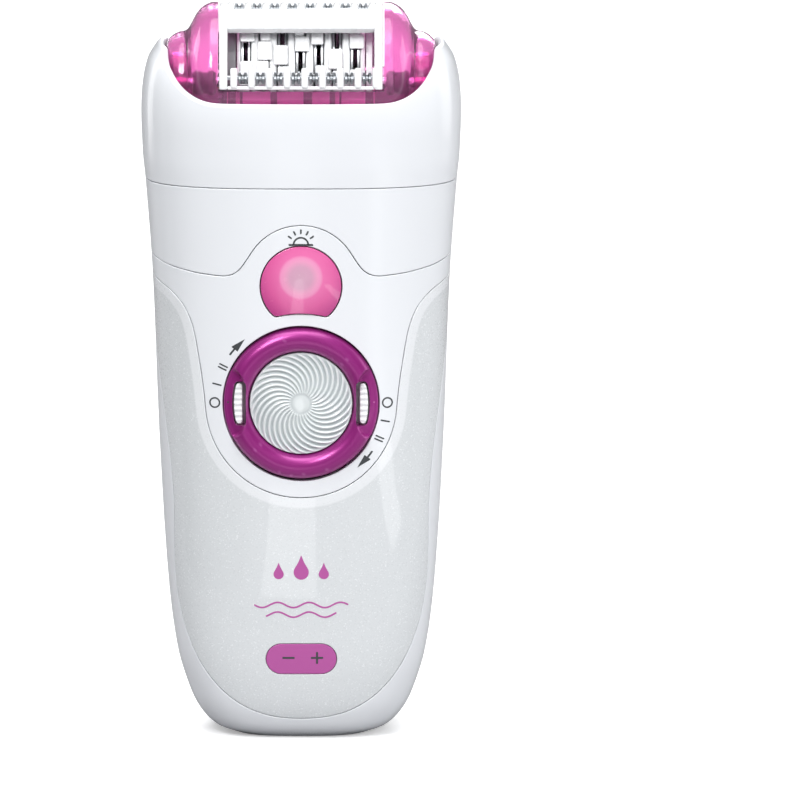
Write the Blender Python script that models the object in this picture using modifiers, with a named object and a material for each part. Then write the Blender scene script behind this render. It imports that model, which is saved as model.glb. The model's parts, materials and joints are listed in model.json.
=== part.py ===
"""Cordless wet-and-dry epilator, built as an assembly of separate pieces.

Metres, +Z up, the front of the handle faces -Y, and the base stands on Z = 0.
Outlines seen from the front are lists of (x, z) points. Turned pieces are profiles of
(radius, height) points. A moving piece has its origin, or its parent empty, on its joint's axis.
"""

import math

import bmesh
import bpy
from mathutils import Matrix, Vector

# ---------------------------------------------------------------- driving dimensions

GAP = 0.0003  # between neighbouring pieces
WALL = 0.0022  # of the handle's shells
ROUNDNESS = 3.0  # exponent of the superellipse that every section of the body follows

BODY_TOP = 0.1146  # the parting plane between handle and head unit
COLLAR_LOW = BODY_TOP + GAP
COLLAR_WALL = 0.0016

# Sections of the outer skin: height, half width, half depth.
SECTIONS = (
    (0.0000, 0.0135, 0.0105),
    (0.0016, 0.0176, 0.0134),
    (0.0047, 0.0207, 0.0153),
    (0.0090, 0.0229, 0.0165),
    (0.0174, 0.0254, 0.0175),
    (0.0326, 0.0273, 0.0181),
    (0.0610, 0.0290, 0.0184),
    (0.0945, 0.0303, 0.0189),
    (0.1138, 0.0317, 0.0196),
    (0.1200, 0.0323, 0.0200),
    (0.1310, 0.0325, 0.0202),
    (0.1382, 0.0313, 0.0186),
    (0.1424, 0.0288, 0.0150),
)
RING_POINTS = 32

DIAL_Z = 0.0703
DIAL_RADIUS = 0.0157
DIAL_BORE = 0.0106
DIAL_FRONT = 0.0199  # how far the ring's crown stands in front of the middle plane
LENS_Z = 0.0945
LENS_RADIUS = 0.00835
LENS_NOTCH = 0.0185  # radius round the dial's centre of the lens's hollow lower edge
PILL_Z = 0.0173
PILL_SIZE = (0.0144, 0.0063)

PIVOT_Z = 0.1333  # height of the swivel axis, which is the drum's axis too
CAP_RADIUS = 0.0162
CAP_THICKNESS = 0.0015
CAP_HALF_WIDTH = 0.0166
ROLLERS = 8
ROLLER_PITCH = 0.0036
FRONT_ROLLER_SHIFT = 0.0008  # the front row stands this much to the right
ROLLER_AXIS_RADIUS = 0.0151
FRONT_ROLLER_ANGLE = math.radians(13.0)  # from the front, up round the swivel axis
REAR_ROLLER_ANGLE = math.radians(100.0)

DRUM_RADIUS = 0.0124
DISC_PAIRS = 7
DISC_PAIR_PITCH = 0.0037
DISC_THICKNESS = 0.0006
DISC_OPENING = 0.0007  # between the two jaws of a pair

SPINDLE_X = -0.0190
SPUR_MODULE = 0.0005
MOTOR_TEETH = 14
OUTPUT_TEETH = 30
MOTOR_X = SPINDLE_X + SPUR_MODULE * (MOTOR_TEETH + OUTPUT_TEETH) / 2
DRIVE_TEETH = 10
FACE_TEETH = 38
MOTOR_RADIUS = 0.0090
BATTERY_RADIUS = 0.0072

PRESSURE_ANGLE = math.radians(20.0)
FRONT = -0.040  # a plane well in front of the body, where cutters start

# ---------------------------------------------------------------- scene helpers


def clear_scene():
    for old in list(bpy.data.objects):
        bpy.data.objects.remove(old, do_unlink=True)


def new_collection(name):
    collection = bpy.data.collections.new(name)
    bpy.context.scene.collection.children.link(collection)
    return collection


clear_scene()
PARTS = new_collection("epilator")
CUTTERS = new_collection("cutters")


def new_material(name, colour, roughness, metallic=0.0, transmission=0.0):
    material = bpy.data.materials.new(name)
    material.use_nodes = True
    shader = material.node_tree.nodes["Principled BSDF"]
    shader.inputs["Base Color"].default_value = (*colour, 1.0)
    shader.inputs["Roughness"].default_value = roughness
    shader.inputs["Metallic"].default_value = metallic
    shader.inputs["Transmission Weight"].default_value = transmission
    return material


LOOKS = {
    "white_shell": ((0.86, 0.88, 0.91), 0.18, 0.0, 0.0),
    "pearl_window": ((0.72, 0.75, 0.77), 0.12, 0.0, 0.35),
    "pink_clear": ((0.72, 0.12, 0.46), 0.08, 0.0, 0.6),
    "pink_lens": ((0.80, 0.20, 0.42), 0.12, 0.0, 0.3),
    "purple_metal": ((0.36, 0.03, 0.28), 0.22, 0.8, 0.0),
    "clear_disc": ((0.80, 0.84, 0.85), 0.10, 0.0, 0.6),
    "steel": ((0.62, 0.63, 0.65), 0.22, 1.0, 0.0),
    "white_plastic": ((0.82, 0.83, 0.84), 0.35, 0.0, 0.0),
    "grey_plastic": ((0.30, 0.31, 0.33), 0.45, 0.0, 0.0),
    "black_rubber": ((0.03, 0.03, 0.035), 0.7, 0.0, 0.0),
    "circuit_green": ((0.03, 0.18, 0.07), 0.45, 0.0, 0.0),
    "battery_wrap": ((0.10, 0.22, 0.40), 0.35, 0.0, 0.0),
    "brass": ((0.72, 0.52, 0.20), 0.3, 1.0, 0.0),
    "led_white": ((0.95, 0.93, 0.85), 0.2, 0.0, 0.0),
}


def finish_object(obj, look):
    """Puts the object in the model and gives it a material of its own."""
    colour, roughness, metallic, transmission = LOOKS[look]
    obj.data.materials.clear()
    obj.data.materials.append(new_material(obj.name, colour, roughness, metallic, transmission))
    if obj.type == "MESH":
        obj.data.shade_smooth()
        obj.data.set_sharp_from_angle(angle=math.radians(35))
    PARTS.objects.link(obj)
    return obj


def finish_cutter(obj):
    obj.hide_render = True
    obj.display_type = "WIRE"
    CUTTERS.objects.link(obj)
    return obj


def mesh_object(name, bm):
    bmesh.ops.recalc_face_normals(bm, faces=bm.faces)
    mesh = bpy.data.meshes.new(name)
    bm.to_mesh(mesh)
    bm.free()
    return bpy.data.objects.new(name, mesh)


def boolean(obj, cutter, operation="DIFFERENCE"):
    modifier = obj.modifiers.new(cutter.name, "BOOLEAN")
    modifier.object = cutter
    modifier.operation = operation
    modifier.solver = "EXACT"


def joint_empty(name, location):
    """An empty on a joint's axis, which carries the pieces that move with the joint."""
    empty = bpy.data.objects.new(name, None)
    empty.location = location
    empty.empty_display_size = 0.005
    PARTS.objects.link(empty)
    return empty


def carry(empty, *pieces):
    """Parents pieces to the joint's empty and leaves them where they are."""
    bpy.context.view_layer.update()
    for piece in pieces:
        piece.parent = empty
        piece.matrix_parent_inverse = empty.matrix_world.inverted()


# ---------------------------------------------------------------- shape helpers

AXIS_TURN = {
    "X": Matrix.Rotation(math.pi / 2, 4, "Y"),
    "Z": Matrix.Identity(4),
    "-Y": Matrix.Rotation(math.pi / 2, 4, "X"),
}


def arc(centre, radius, start, end, steps):
    """Points along an arc, angles in degrees, both ends included."""
    points = []
    for step in range(steps + 1):
        angle = math.radians(start + (end - start) * step / steps)
        points.append((centre[0] + radius * math.cos(angle), centre[1] + radius * math.sin(angle)))
    return points


def circle(centre, radius, steps=48):
    return arc(centre, radius, 0, 360, steps)[:-1]


def stadium(centre, length, height, steps=8):
    """An upright-ended pill outline, longer along its first axis."""
    radius = height / 2
    reach = length / 2 - radius
    right = arc((centre[0] + reach, centre[1]), radius, -90, 90, steps)
    left = arc((centre[0] - reach, centre[1]), radius, 90, 270, steps)
    return right + left


def extruded(name, outline, axis, low, high):
    """A flat outline drawn across the named axis and extruded along it from low to high."""
    place = {
        "X": lambda a, b: Vector((low, a, b)),
        "Y": lambda a, b: Vector((a, low, b)),
        "Z": lambda a, b: Vector((a, b, low)),
    }[axis]
    way = {"X": Vector((1, 0, 0)), "Y": Vector((0, 1, 0)), "Z": Vector((0, 0, 1))}[axis]
    bm = bmesh.new()
    face = bm.faces.new([bm.verts.new(place(a, b)) for a, b in outline])
    grown = bmesh.ops.extrude_face_region(bm, geom=[face])["geom"]
    moved = [item for item in grown if isinstance(item, bmesh.types.BMVert)]
    bmesh.ops.translate(bm, verts=moved, vec=way * (high - low))
    return mesh_object(name, bm)


def turned(name, profile, axis, origin, steps=32, closed=False):
    """A profile of (radius, height) points, top to bottom, turned round an axis at origin."""
    mesh = bpy.data.meshes.new(name)
    count = len(profile)
    edges = [(i, i + 1) for i in range(count - 1)]
    if closed:
        edges.append((count - 1, 0))
    mesh.from_pydata([(radius, 0.0, height) for radius, height in profile], edges, [])
    obj = bpy.data.objects.new(name, mesh)
    screw = obj.modifiers.new("turn", "SCREW")
    screw.steps = steps
    screw.render_steps = steps
    screw.use_merge_vertices = True
    screw.merge_threshold = 0.00001
    screw.use_smooth_shade = True
    obj.matrix_world = Matrix.Translation(origin) @ AXIS_TURN[axis]
    return obj


def cylinder(name, radius, low, high, axis, centre, steps=32):
    """A rod along X, Y or Z from low to high, its axis through centre in the other two."""
    bm = bmesh.new()
    bmesh.ops.create_cone(
        bm, cap_ends=True, segments=steps, radius1=radius, radius2=radius, depth=high - low
    )
    obj = mesh_object(name, bm)
    middle = (low + high) / 2
    turn = {"X": AXIS_TURN["X"], "Y": AXIS_TURN["-Y"], "Z": AXIS_TURN["Z"]}[axis]
    a, b = centre
    spot = {"X": (middle, a, b), "Y": (a, middle, b), "Z": (a, b, middle)}[axis]
    obj.matrix_world = Matrix.Translation(spot) @ turn
    return obj


def box(name, low, high):
    bm = bmesh.new()
    bmesh.ops.create_cube(bm, size=1.0)
    size = Vector(high) - Vector(low)
    bmesh.ops.scale(bm, vec=size, verts=bm.verts)
    obj = mesh_object(name, bm)
    obj.location = (Vector(low) + Vector(high)) / 2
    return obj


def cutter_extruded(name, outline, axis, low, high):
    return finish_cutter(extruded(name, outline, axis, low, high))


def cutter_box(name, low, high):
    return finish_cutter(box(name, low, high))


def cutter_cylinder(name, radius, low, high, axis, centre, steps=32):
    return finish_cutter(cylinder(name, radius, low, high, axis, centre, steps))


# ---------------------------------------------------------------- the outer skin


def section(z):
    """Half width and half depth of the outer skin at a height, on a smooth curve."""
    last = len(SECTIONS) - 1
    index = 0
    while index < last - 1 and z > SECTIONS[index + 1][0]:
        index += 1
    before = SECTIONS[max(index - 1, 0)]
    low = SECTIONS[index]
    high = SECTIONS[index + 1]
    after = SECTIONS[min(index + 2, last)]
    span = high[0] - low[0]
    t = (z - low[0]) / span
    values = []
    for column in (1, 2):
        slope_low = (high[column] - before[column]) / (high[0] - before[0])
        slope_high = (after[column] - low[column]) / (after[0] - low[0])
        values.append(
            low[column] * (2 * t**3 - 3 * t**2 + 1)
            + high[column] * (3 * t**2 - 2 * t**3)
            + slope_low * span * (t**3 - 2 * t**2 + t)
            + slope_high * span * (t**3 - t**2)
        )
    return values


def ring_outline(half_width, half_depth, points=RING_POINTS):
    """A superellipse in the XY plane, anticlockwise from +X."""
    outline = []
    power = 2 / ROUNDNESS
    for index in range(points):
        angle = 2 * math.pi * index / points
        c = math.cos(angle)
        s = math.sin(angle)
        x = half_width * math.copysign(abs(c) ** power, c)
        y = half_depth * math.copysign(abs(s) ** power, s)
        outline.append((x, y))
    return outline


def skin_depth(x, z):
    """How far the outer skin stands from the middle plane at x and z."""
    half_width, half_depth = section(z)
    share = min(abs(x) / half_width, 1.0)
    return half_depth * (1 - share**ROUNDNESS) ** (1 / ROUNDNESS)


def skin(name, heights, wall, floor):
    """The outer skin between heights as an open loft, thickened inwards by Solidify."""
    bm = bmesh.new()
    rings = []
    for z in heights:
        outline = ring_outline(*section(z))
        rings.append([bm.verts.new((x, y, z)) for x, y in outline])
    for low, high in zip(rings, rings[1:]):
        for i in range(RING_POINTS):
            j = (i + 1) % RING_POINTS
            bm.faces.new((low[i], low[j], high[j], high[i]))
    if floor:
        bm.faces.new(list(reversed(rings[0])))
    mesh = bpy.data.meshes.new(name)
    bm.to_mesh(mesh)
    bm.free()
    obj = bpy.data.objects.new(name, mesh)
    thicken = obj.modifiers.new("wall", "SOLIDIFY")
    thicken.thickness = wall
    thicken.offset = -1.0
    thicken.use_even_offset = True
    return obj


def inner_plate(name, low, high, wall):
    """A plate that fills the skin's inside between two heights, with a gap all round."""
    half_width, half_depth = section(low)
    inset = wall + GAP
    outline = ring_outline(half_width - inset, half_depth - inset)
    return extruded(name, outline, "Z", low, high)


BODY_HEIGHTS = (
    0.0, 0.0007, 0.0016, 0.0030, 0.0047, 0.0072, 0.0110, 0.0174, 0.0250,
    0.0380, 0.0560, 0.0750, 0.0945, 0.1050, BODY_TOP - 0.0002,
)
COLLAR_HEIGHTS = (
    COLLAR_LOW, 0.1190, 0.1240, 0.1290, 0.1331, 0.1362, 0.1387, 0.1406, 0.1424,
)

# ---------------------------------------------------------------- seams seen from the front

WAVE_SIDE_Z = 0.0992
WAVE_LOW = (0.0165, 0.0964)
WAVE_TOP_Z = 0.1071


def wave_seam():
    """The seam under the upper front shell: an arch over the lens between two low dips."""
    crown = 0.0118
    crown_z = WAVE_TOP_Z - crown
    right = arc((0.0, crown_z), crown, 90, 28, 8)
    flank = right[-1]
    dip = arc((WAVE_LOW[0] + 0.0006, WAVE_LOW[1] + 0.0046), 0.0046, 208, 275, 5)
    side = [
        (0.0225, 0.0970),
        (0.0270, 0.0980),
        (0.0303, WAVE_SIDE_Z),
        (0.0400, WAVE_SIDE_Z + 0.0040),
    ]
    half = right + [((flank[0] + dip[0][0]) / 2, (flank[1] + dip[0][1]) / 2)] + dip + side
    return [(-x, z) for x, z in reversed(half[1:])] + half


def tongue_side():
    """Right edge of the tongue panel, from its lowest point up to where it meets the side."""
    lower = arc((0.0, DIAL_Z), 0.0195, -90, -6, 14)
    upper = [
        (0.0199, DIAL_Z + 0.0030),
        (0.0207, DIAL_Z + 0.0085),
        (0.0219, DIAL_Z + 0.0150),
        (0.0236, DIAL_Z + 0.0192),
        (0.0262, DIAL_Z + 0.0222),
        (0.0296, DIAL_Z + 0.0243),
        (0.0400, DIAL_Z + 0.0290),
    ]
    return lower + upper


def shifted(points, distance):
    """Moves an open line sideways, to its left as it runs."""
    moved = []
    for index, point in enumerate(points):
        before = points[max(index - 1, 0)]
        after = points[min(index + 1, len(points) - 1)]
        dx = after[0] - before[0]
        dz = after[1] - before[1]
        length = math.hypot(dx, dz)
        moved.append((point[0] - dz / length * distance, point[1] + dx / length * distance))
    return moved


def window_half_width(z):
    """Half width of the pearly window, which flares out to the side as it rises."""
    low = 0.0259
    t = min(max((z - 0.045) / 0.047, 0.0), 1.0)
    return low + 0.0043 * t * t * (3 - 2 * t)


def window_side(steps=10):
    """Right edge of the window panel, from its lowest point up to the side of the body."""
    middle_z = 0.040
    low_z = 0.0045
    power = 2 / 2.3
    points = []
    for step in range(steps + 1):
        angle = math.pi / 2 * step / steps
        x = window_half_width(0.0) * math.sin(angle) ** power
        z = middle_z - (middle_z - low_z) * math.cos(angle) ** power
        points.append((x, z))
    for z in (0.048, 0.056, 0.064, 0.072, 0.080, 0.088):
        points.append((window_half_width(z), z))
    points.append((0.0400, 0.0960))
    return points


def mirrored_outline(right, top):
    """A closed outline from its right edge, bottom to top, and a line across the top."""
    left = [(-x, z) for x, z in reversed(right) if x > 1e-6]
    return left + right + top


def tongue_outline(grow=0.0):
    """Outline of the tongue panel, grown outwards by a gap when it is used as a cutter."""
    edge = shifted(tongue_side(), -grow)
    edge[0] = (0.0, edge[0][1])
    top = shifted(wave_seam(), grow - GAP / 2)
    return mirrored_outline(edge, list(reversed(top)))


def window_outline(grow=0.0):
    edge = shifted(window_side(), -grow)
    edge[0] = (0.0, edge[0][1])
    return mirrored_outline(edge, [])


def upper_outline(grow=0.0):
    """Everything above the wave seam."""
    low = shifted(wave_seam(), GAP / 2 - grow)
    return low + [(0.0400, 0.1300), (-0.0400, 0.1300)]


def pill_outline(grow=0.0):
    return stadium((0.0, PILL_Z), PILL_SIZE[0] + 2 * grow, PILL_SIZE[1] + 2 * grow)


# ---------------------------------------------------------------- handle shells

MIDDLE = 0.0  # the front pieces end at this plane


def shell_piece(name, cutters, look):
    """A piece of the handle's skin: kept inside the first cutter and outside the others."""
    obj = skin(name, BODY_HEIGHTS, WALL, floor=True)
    boolean(obj, cutters[0], "INTERSECT")
    for cutter in cutters[1:]:
        boolean(obj, cutter)
    return finish_object(obj, look)


def build_handle_shells():
    tongue = cutter_extruded("tongue_keep", tongue_outline(), "Y", FRONT, MIDDLE)
    tongue_gap = cutter_extruded("tongue_gap", tongue_outline(GAP), "Y", FRONT, MIDDLE + GAP)
    window = cutter_extruded("window_keep", window_outline(), "Y", FRONT, MIDDLE)
    window_gap = cutter_extruded("window_gap", window_outline(GAP), "Y", FRONT, MIDDLE + GAP)
    upper = cutter_extruded("upper_keep", upper_outline(), "Y", FRONT, MIDDLE)
    upper_gap = cutter_extruded("upper_gap", upper_outline(GAP), "Y", FRONT, MIDDLE + GAP)
    pill = cutter_extruded("pill_keep", pill_outline(), "Y", FRONT, MIDDLE)
    pill_gap = cutter_extruded("pill_gap", pill_outline(GAP), "Y", FRONT, MIDDLE)
    dial_hole = cutter_cylinder(
        "dial_hole", DIAL_RADIUS + 1.3 * GAP, FRONT, MIDDLE, "Y", (0.0, DIAL_Z), 48
    )
    lens_hole = cutter_extruded("lens_hole", lens_outline(GAP), "Y", FRONT, MIDDLE)

    shell_piece("tongue_panel", (tongue, dial_hole, lens_hole), "white_shell")
    shell_piece("window_panel", (window, tongue_gap, pill_gap), "pearl_window")
    shell_piece("front_shell", (upper,), "white_shell")
    shell_piece("charge_indicator", (pill,), "pink_lens")

    rear = skin("rear_housing", BODY_HEIGHTS, WALL, floor=True)
    for cutter in (upper_gap, tongue_gap, window_gap):
        boolean(rear, cutter)
    boolean(rear, button_outline_cutter())
    boolean(rear, inlet_hole_cutter())
    finish_object(rear, "white_shell")


# ---------------------------------------------------------------- lens and indicator


def lens_outline(grow=0.0):
    """A disc with a hollow lower edge that runs round the dial."""
    radius = LENS_RADIUS + grow
    notch = LENS_NOTCH - grow
    rise = LENS_Z - DIAL_Z
    # Height above the dial's centre where the two circles cross.
    cross = (rise**2 + notch**2 - radius**2) / (2 * rise)
    half = math.sqrt(notch**2 - cross**2)
    start = math.degrees(math.atan2(cross - rise, half))
    upper = arc((0.0, LENS_Z), radius, start, 180 - start, 28)
    edge = math.degrees(math.atan2(cross, half))
    lower = arc((0.0, DIAL_Z), notch, 180 - edge, edge, 8)
    return upper + lower[1:-1]


def build_lens():
    front = skin_depth(0.0, LENS_Z)
    crown = front + 0.0007
    rim = front - 0.0003
    dome = [(0.0, crown)]
    steps = 4
    for step in range(1, steps + 1):
        share = step / steps
        dome.append((0.0100 * share, crown - (crown - rim) * share**2))
    profile = dome + [(0.0100, front - 0.0020), (0.0, front - 0.0020)]
    lens = turned("light_lens", profile, "-Y", (0.0, 0.0, LENS_Z), steps=28)
    keep = cutter_extruded("lens_keep", lens_outline(), "Y", FRONT, MIDDLE)
    boolean(lens, keep, "INTERSECT")
    finish_object(lens, "pink_lens")
    led_front = front - 0.0020 - GAP
    led_back = led_front - 0.0036
    led_radius = 0.0020
    led_profile = [
        (0.0, led_front),
        (0.6 * led_radius, led_front - 0.0003),
        (led_radius, led_front - 0.0012),
        (led_radius, led_back),
        (0.0, led_back),
    ]
    led = turned("light_led", led_profile, "-Y", (0.0, 0.0, LENS_Z), steps=16)
    finish_object(led, "led_white")


# ---------------------------------------------------------------- start switch

KEY_INNER = 0.0119
KEY_OUTER = 0.0137
KEY_HEIGHT = 0.0084
KEY_TRAVEL = 0.0005
CARRIER_FRONT = 0.0154
CARRIER_BACK = 0.0142
SHAFT_RADIUS = 0.0030


def build_switch():
    """The ring, the swirl disc and their carrier turn together; the keys slide in the ring."""
    crown = DIAL_FRONT
    seat = CARRIER_FRONT + GAP
    bead = (DIAL_RADIUS - DIAL_BORE) / 2
    middle = DIAL_RADIUS - bead
    round_z = crown - bead * 0.75
    top = [
        (middle + bead * math.cos(a), round_z + bead * 0.75 * math.sin(a))
        for a in (math.pi * step / 8 for step in range(8, -1, -1))
    ]
    profile = top + [(DIAL_RADIUS, seat), (DIAL_BORE, seat)]
    ring = turned("switch_ring", profile, "-Y", (0.0, 0.0, DIAL_Z), 44, closed=True)
    for side, sign in (("left", -1), ("right", 1)):
        slot_x = sign * (KEY_INNER + KEY_OUTER - KEY_TRAVEL) / 2
        width = KEY_OUTER - KEY_INNER + KEY_TRAVEL + 2 * GAP
        height = KEY_HEIGHT + 2 * GAP
        slot = [(slot_x + b, DIAL_Z + a) for a, b in stadium((0.0, 0.0), height, width)]
        boolean(ring, cutter_extruded(f"key_slot_{side}", slot, "Y", FRONT, 0.0))
        reach = sorted((sign * 0.0115, sign * 0.0200))
        grip_low = (reach[0], -0.0250, DIAL_Z - 0.0069)
        grip_high = (reach[1], -crown + 0.0013, DIAL_Z + 0.0069)
        boolean(ring, cutter_box(f"grip_{side}", grip_low, grip_high))
    finish_object(ring, "purple_metal")

    disc_front = crown - 0.0008
    disc_radius = DIAL_BORE - GAP
    disc = turned(
        "switch_disc",
        [(0.0, disc_front), (0.0050, disc_front - 0.0002), (disc_radius, disc_front - 0.0012),
         (disc_radius, seat), (0.0, seat)],
        "-Y", (0.0, 0.0, DIAL_Z), 48,
    )
    finish_object(disc, "clear_disc")

    carrier = turned(
        "switch_carrier",
        [(0.0, CARRIER_FRONT), (DIAL_RADIUS - GAP, CARRIER_FRONT),
         (DIAL_RADIUS - GAP, CARRIER_BACK), (SHAFT_RADIUS, CARRIER_BACK),
         (SHAFT_RADIUS, 0.0095), (0.0, 0.0095)],
        "-Y", (0.0, 0.0, DIAL_Z), 32,
    )
    finish_object(carrier, "grey_plastic")

    seat_back = CARRIER_BACK - GAP - 0.0010
    switch_seat = turned(
        "switch_seat",
        [(DIAL_RADIUS + 0.0012, CARRIER_BACK - GAP), (DIAL_RADIUS + 0.0012, seat_back),
         (SHAFT_RADIUS + GAP, seat_back), (SHAFT_RADIUS + GAP, CARRIER_BACK - GAP)],
        "-Y", (0.0, 0.0, DIAL_Z), 40, closed=True,
    )
    finish_object(switch_seat, "black_rubber")

    turn = joint_empty("switch_turn_axis", (0.0, 0.0, DIAL_Z))
    carry(turn, ring, disc, carrier)
    for side, sign in (("left", -1), ("right", 1)):
        key_middle = sign * (KEY_INNER + KEY_OUTER) / 2
        key_width = KEY_OUTER - KEY_INNER
        key_outline = [
            (key_middle + b, DIAL_Z + a) for a, b in stadium((0.0, 0.0), KEY_HEIGHT, key_width)
        ]
        key = extruded(f"switch_key_{side}", key_outline, "Y", -0.0184, -CARRIER_FRONT - GAP)
        finish_object(key, "white_plastic")
        slide = joint_empty(f"key_{side}_slide", (key_middle, 0.0, DIAL_Z))
        carry(turn, slide)
        carry(slide, key)


# ---------------------------------------------------------------- inside the handle


def gear_outline(teeth, module, first_angle, centre=(0.0, 0.0), backlash=0.00012):
    """An involute spur gear's outline, with the first tooth's middle at first_angle."""
    pitch = teeth * module / 2
    base = pitch * math.cos(PRESSURE_ANGLE)
    tip = pitch + 0.85 * module
    root = pitch - 1.15 * module

    def involute(angle):
        return math.tan(angle) - angle

    half_pitch = math.pi / (2 * teeth) - backlash / (2 * pitch)

    def half_angle(radius):
        roll = math.acos(min(base / radius, 1.0))
        return half_pitch + involute(PRESSURE_ANGLE) - involute(roll)

    radii = [root, pitch, tip]
    points = []
    for tooth in range(teeth):
        middle = first_angle + 2 * math.pi * tooth / teeth
        flank = [(radius, half_angle(max(radius, base))) for radius in radii]
        for radius, half in flank:
            points.append((radius, middle - half))
        for radius, half in reversed(flank):
            points.append((radius, middle + half))
    return [
        (centre[0] + radius * math.cos(angle), centre[1] + radius * math.sin(angle))
        for radius, angle in points
    ]


MOTOR_TOP = 0.1045
GEAR_LOW = 0.1068
GEAR_HIGH = 0.1094
TOP_PLATE = (0.1120, 0.1140)


def build_drive():
    """Motor, pinion, output gear and spindle, with the plate that closes the handle."""
    motor = turned(
        "motor",
        [(0.0, MOTOR_TOP), (MOTOR_RADIUS - 0.0006, MOTOR_TOP), (MOTOR_RADIUS, MOTOR_TOP - 0.0006),
         (MOTOR_RADIUS, 0.0786), (MOTOR_RADIUS - 0.0006, 0.0780), (0.0, 0.0780)],
        "Z", (MOTOR_X, 0.0, 0.0), 28,
    )
    finish_object(motor, "steel")

    pinion = extruded(
        "motor_pinion", gear_outline(MOTOR_TEETH, SPUR_MODULE, math.pi), "Z",
        MOTOR_TOP + GAP, GEAR_HIGH + 0.0004,
    )
    pinion.location = (MOTOR_X, 0.0, 0.0)
    finish_object(pinion, "brass")

    gear = extruded(
        "output_gear", gear_outline(OUTPUT_TEETH, SPUR_MODULE, math.pi / OUTPUT_TEETH), "Z",
        GEAR_LOW, GEAR_HIGH,
    )
    gear.location = (SPINDLE_X, 0.0, 0.0)
    boolean(gear, cutter_cylinder("output_bore", 0.0016 + GAP, 0.1, 0.12, "Z", (SPINDLE_X, 0.0)))
    finish_object(gear, "white_plastic")

    spindle = cylinder("output_spindle", 0.0016, 0.1052, 0.1150, "Z", (SPINDLE_X, 0.0), 24)
    dog = cylinder("output_dog", 0.0022, 0.1146, 0.1190, "Z", (SPINDLE_X, 0.0), 6)
    boolean(spindle, finish_cutter(dog), "UNION")
    finish_object(spindle, "steel")

    plate = inner_plate("top_plate", *TOP_PLATE, WALL)
    hole = cutter_cylinder("spindle_hole", 0.0030, 0.11, 0.12, "Z", (SPINDLE_X, 0.0))
    boolean(plate, hole)
    for side, sign in (("front", -1), ("rear", 1)):
        y = sign * HOOK_Y
        slot = cutter_box(
            f"hook_slot_{side}", (-0.0045, y - 0.0018, 0.11), (0.0045, y + 0.0018, 0.12)
        )
        boolean(plate, slot)
    finish_object(plate, "white_plastic")

    seal = turned(
        "spindle_seal",
        [(0.0027, 0.1136), (0.0027, 0.1124), (0.0016 + GAP, 0.1124), (0.0016 + GAP, 0.1136)],
        "Z", (SPINDLE_X, 0.0, 0.0), 24, closed=True,
    )
    finish_object(seal, "black_rubber")

    motor_axis = joint_empty("motor_axis", (MOTOR_X, 0.0, 0.0))
    spindle_axis = joint_empty("spindle_axis", (SPINDLE_X, 0.0, 0.0))
    carry(motor_axis, pinion)
    carry(spindle_axis, gear, spindle)


BOARD_Y = (-0.0090, -0.0076)
CHASSIS_Y = (-0.0070, -0.0054)
CHASSIS_HALF_WIDTH = 0.0200


def build_inside():
    """Chassis, circuit board, battery and screws."""
    reach = CHASSIS_HALF_WIDTH
    front, back = CHASSIS_Y
    chassis = box("chassis", (-reach, front, 0.0200), (reach, back, 0.0740))
    shelf = box("chassis_shelf", (-reach, front, 0.0735), (reach, 0.0090, 0.0755))
    boolean(chassis, finish_cutter(shelf), "UNION")
    board = box("circuit_board", (-0.0180, BOARD_Y[0], 0.0240), (0.0180, BOARD_Y[1], 0.0680))
    screw_spots = ((-0.0150, 0.0640), (0.0150, 0.0280))
    for number, (x, z) in enumerate(screw_spots, 1):
        hole = cutter_cylinder(f"screw_hole_{number}", 0.0009 + GAP, -0.02, 0.0, "Y", (x, z), 16)
        boolean(board, hole)
        boolean(chassis, hole)
        head_front = -BOARD_Y[0] + GAP + 0.0010
        screw = turned(
            f"board_screw_{number}",
            [(0.0, head_front), (0.0012, head_front), (0.0017, head_front - 0.0005),
             (0.0017, -BOARD_Y[0] + GAP), (0.0009, -BOARD_Y[0] + GAP), (0.0009, 0.0045),
             (0.0, 0.0040)],
            "-Y", (x, 0.0, z), 16,
        )
        finish_object(screw, "steel")
    finish_object(chassis, "white_plastic")
    finish_object(board, "circuit_green")

    battery = turned(
        "battery",
        [(0.0, 0.0710), (0.0025, 0.0710), (0.0025, 0.0700), (BATTERY_RADIUS - 0.0006, 0.0700),
         (BATTERY_RADIUS, 0.0694), (BATTERY_RADIUS, 0.0206), (BATTERY_RADIUS - 0.0006, 0.0200),
         (0.0, 0.0200)],
        "Z", (0.0, 0.0030, 0.0), 24,
    )
    finish_object(battery, "battery_wrap")


# ---------------------------------------------------------------- power inlet

INLET_HALF = (0.0064, 0.0044)
INLET_WALL = 0.0010
INLET_TOP = 0.0100
PIN_SPACING = 0.0070


def inlet_hole_cutter():
    outline = stadium((0.0, 0.0), 2 * (INLET_HALF[0] + GAP), 2 * (INLET_HALF[1] + GAP))
    return cutter_extruded("inlet_hole", outline, "Z", -0.01, 0.01)


def build_inlet():
    outline = stadium((0.0, 0.0), 2 * INLET_HALF[0], 2 * INLET_HALF[1])
    inlet = extruded("power_inlet", outline, "Z", 0.0004, INLET_TOP)
    pocket = stadium(
        (0.0, 0.0), 2 * (INLET_HALF[0] - INLET_WALL), 2 * (INLET_HALF[1] - INLET_WALL)
    )
    boolean(inlet, cutter_extruded("inlet_pocket", pocket, "Z", -0.01, INLET_TOP - 0.0016))
    for side, sign in (("left", -1), ("right", 1)):
        x = sign * PIN_SPACING / 2
        hole = cutter_cylinder(f"pin_hole_{side}", 0.0007 + GAP, 0.0, 0.02, "Z", (x, 0.0), 16)
        boolean(inlet, hole)
        pin = turned(
            f"inlet_pin_{side}",
            [(0.0, 0.0130), (0.0007, 0.0130), (0.0007, 0.0030), (0.0004, 0.0025), (0.0, 0.0025)],
            "Z", (x, 0.0, 0.0), 16,
        )
        finish_object(pin, "brass")
    finish_object(inlet, "black_rubber")


# ---------------------------------------------------------------- release button

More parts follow.
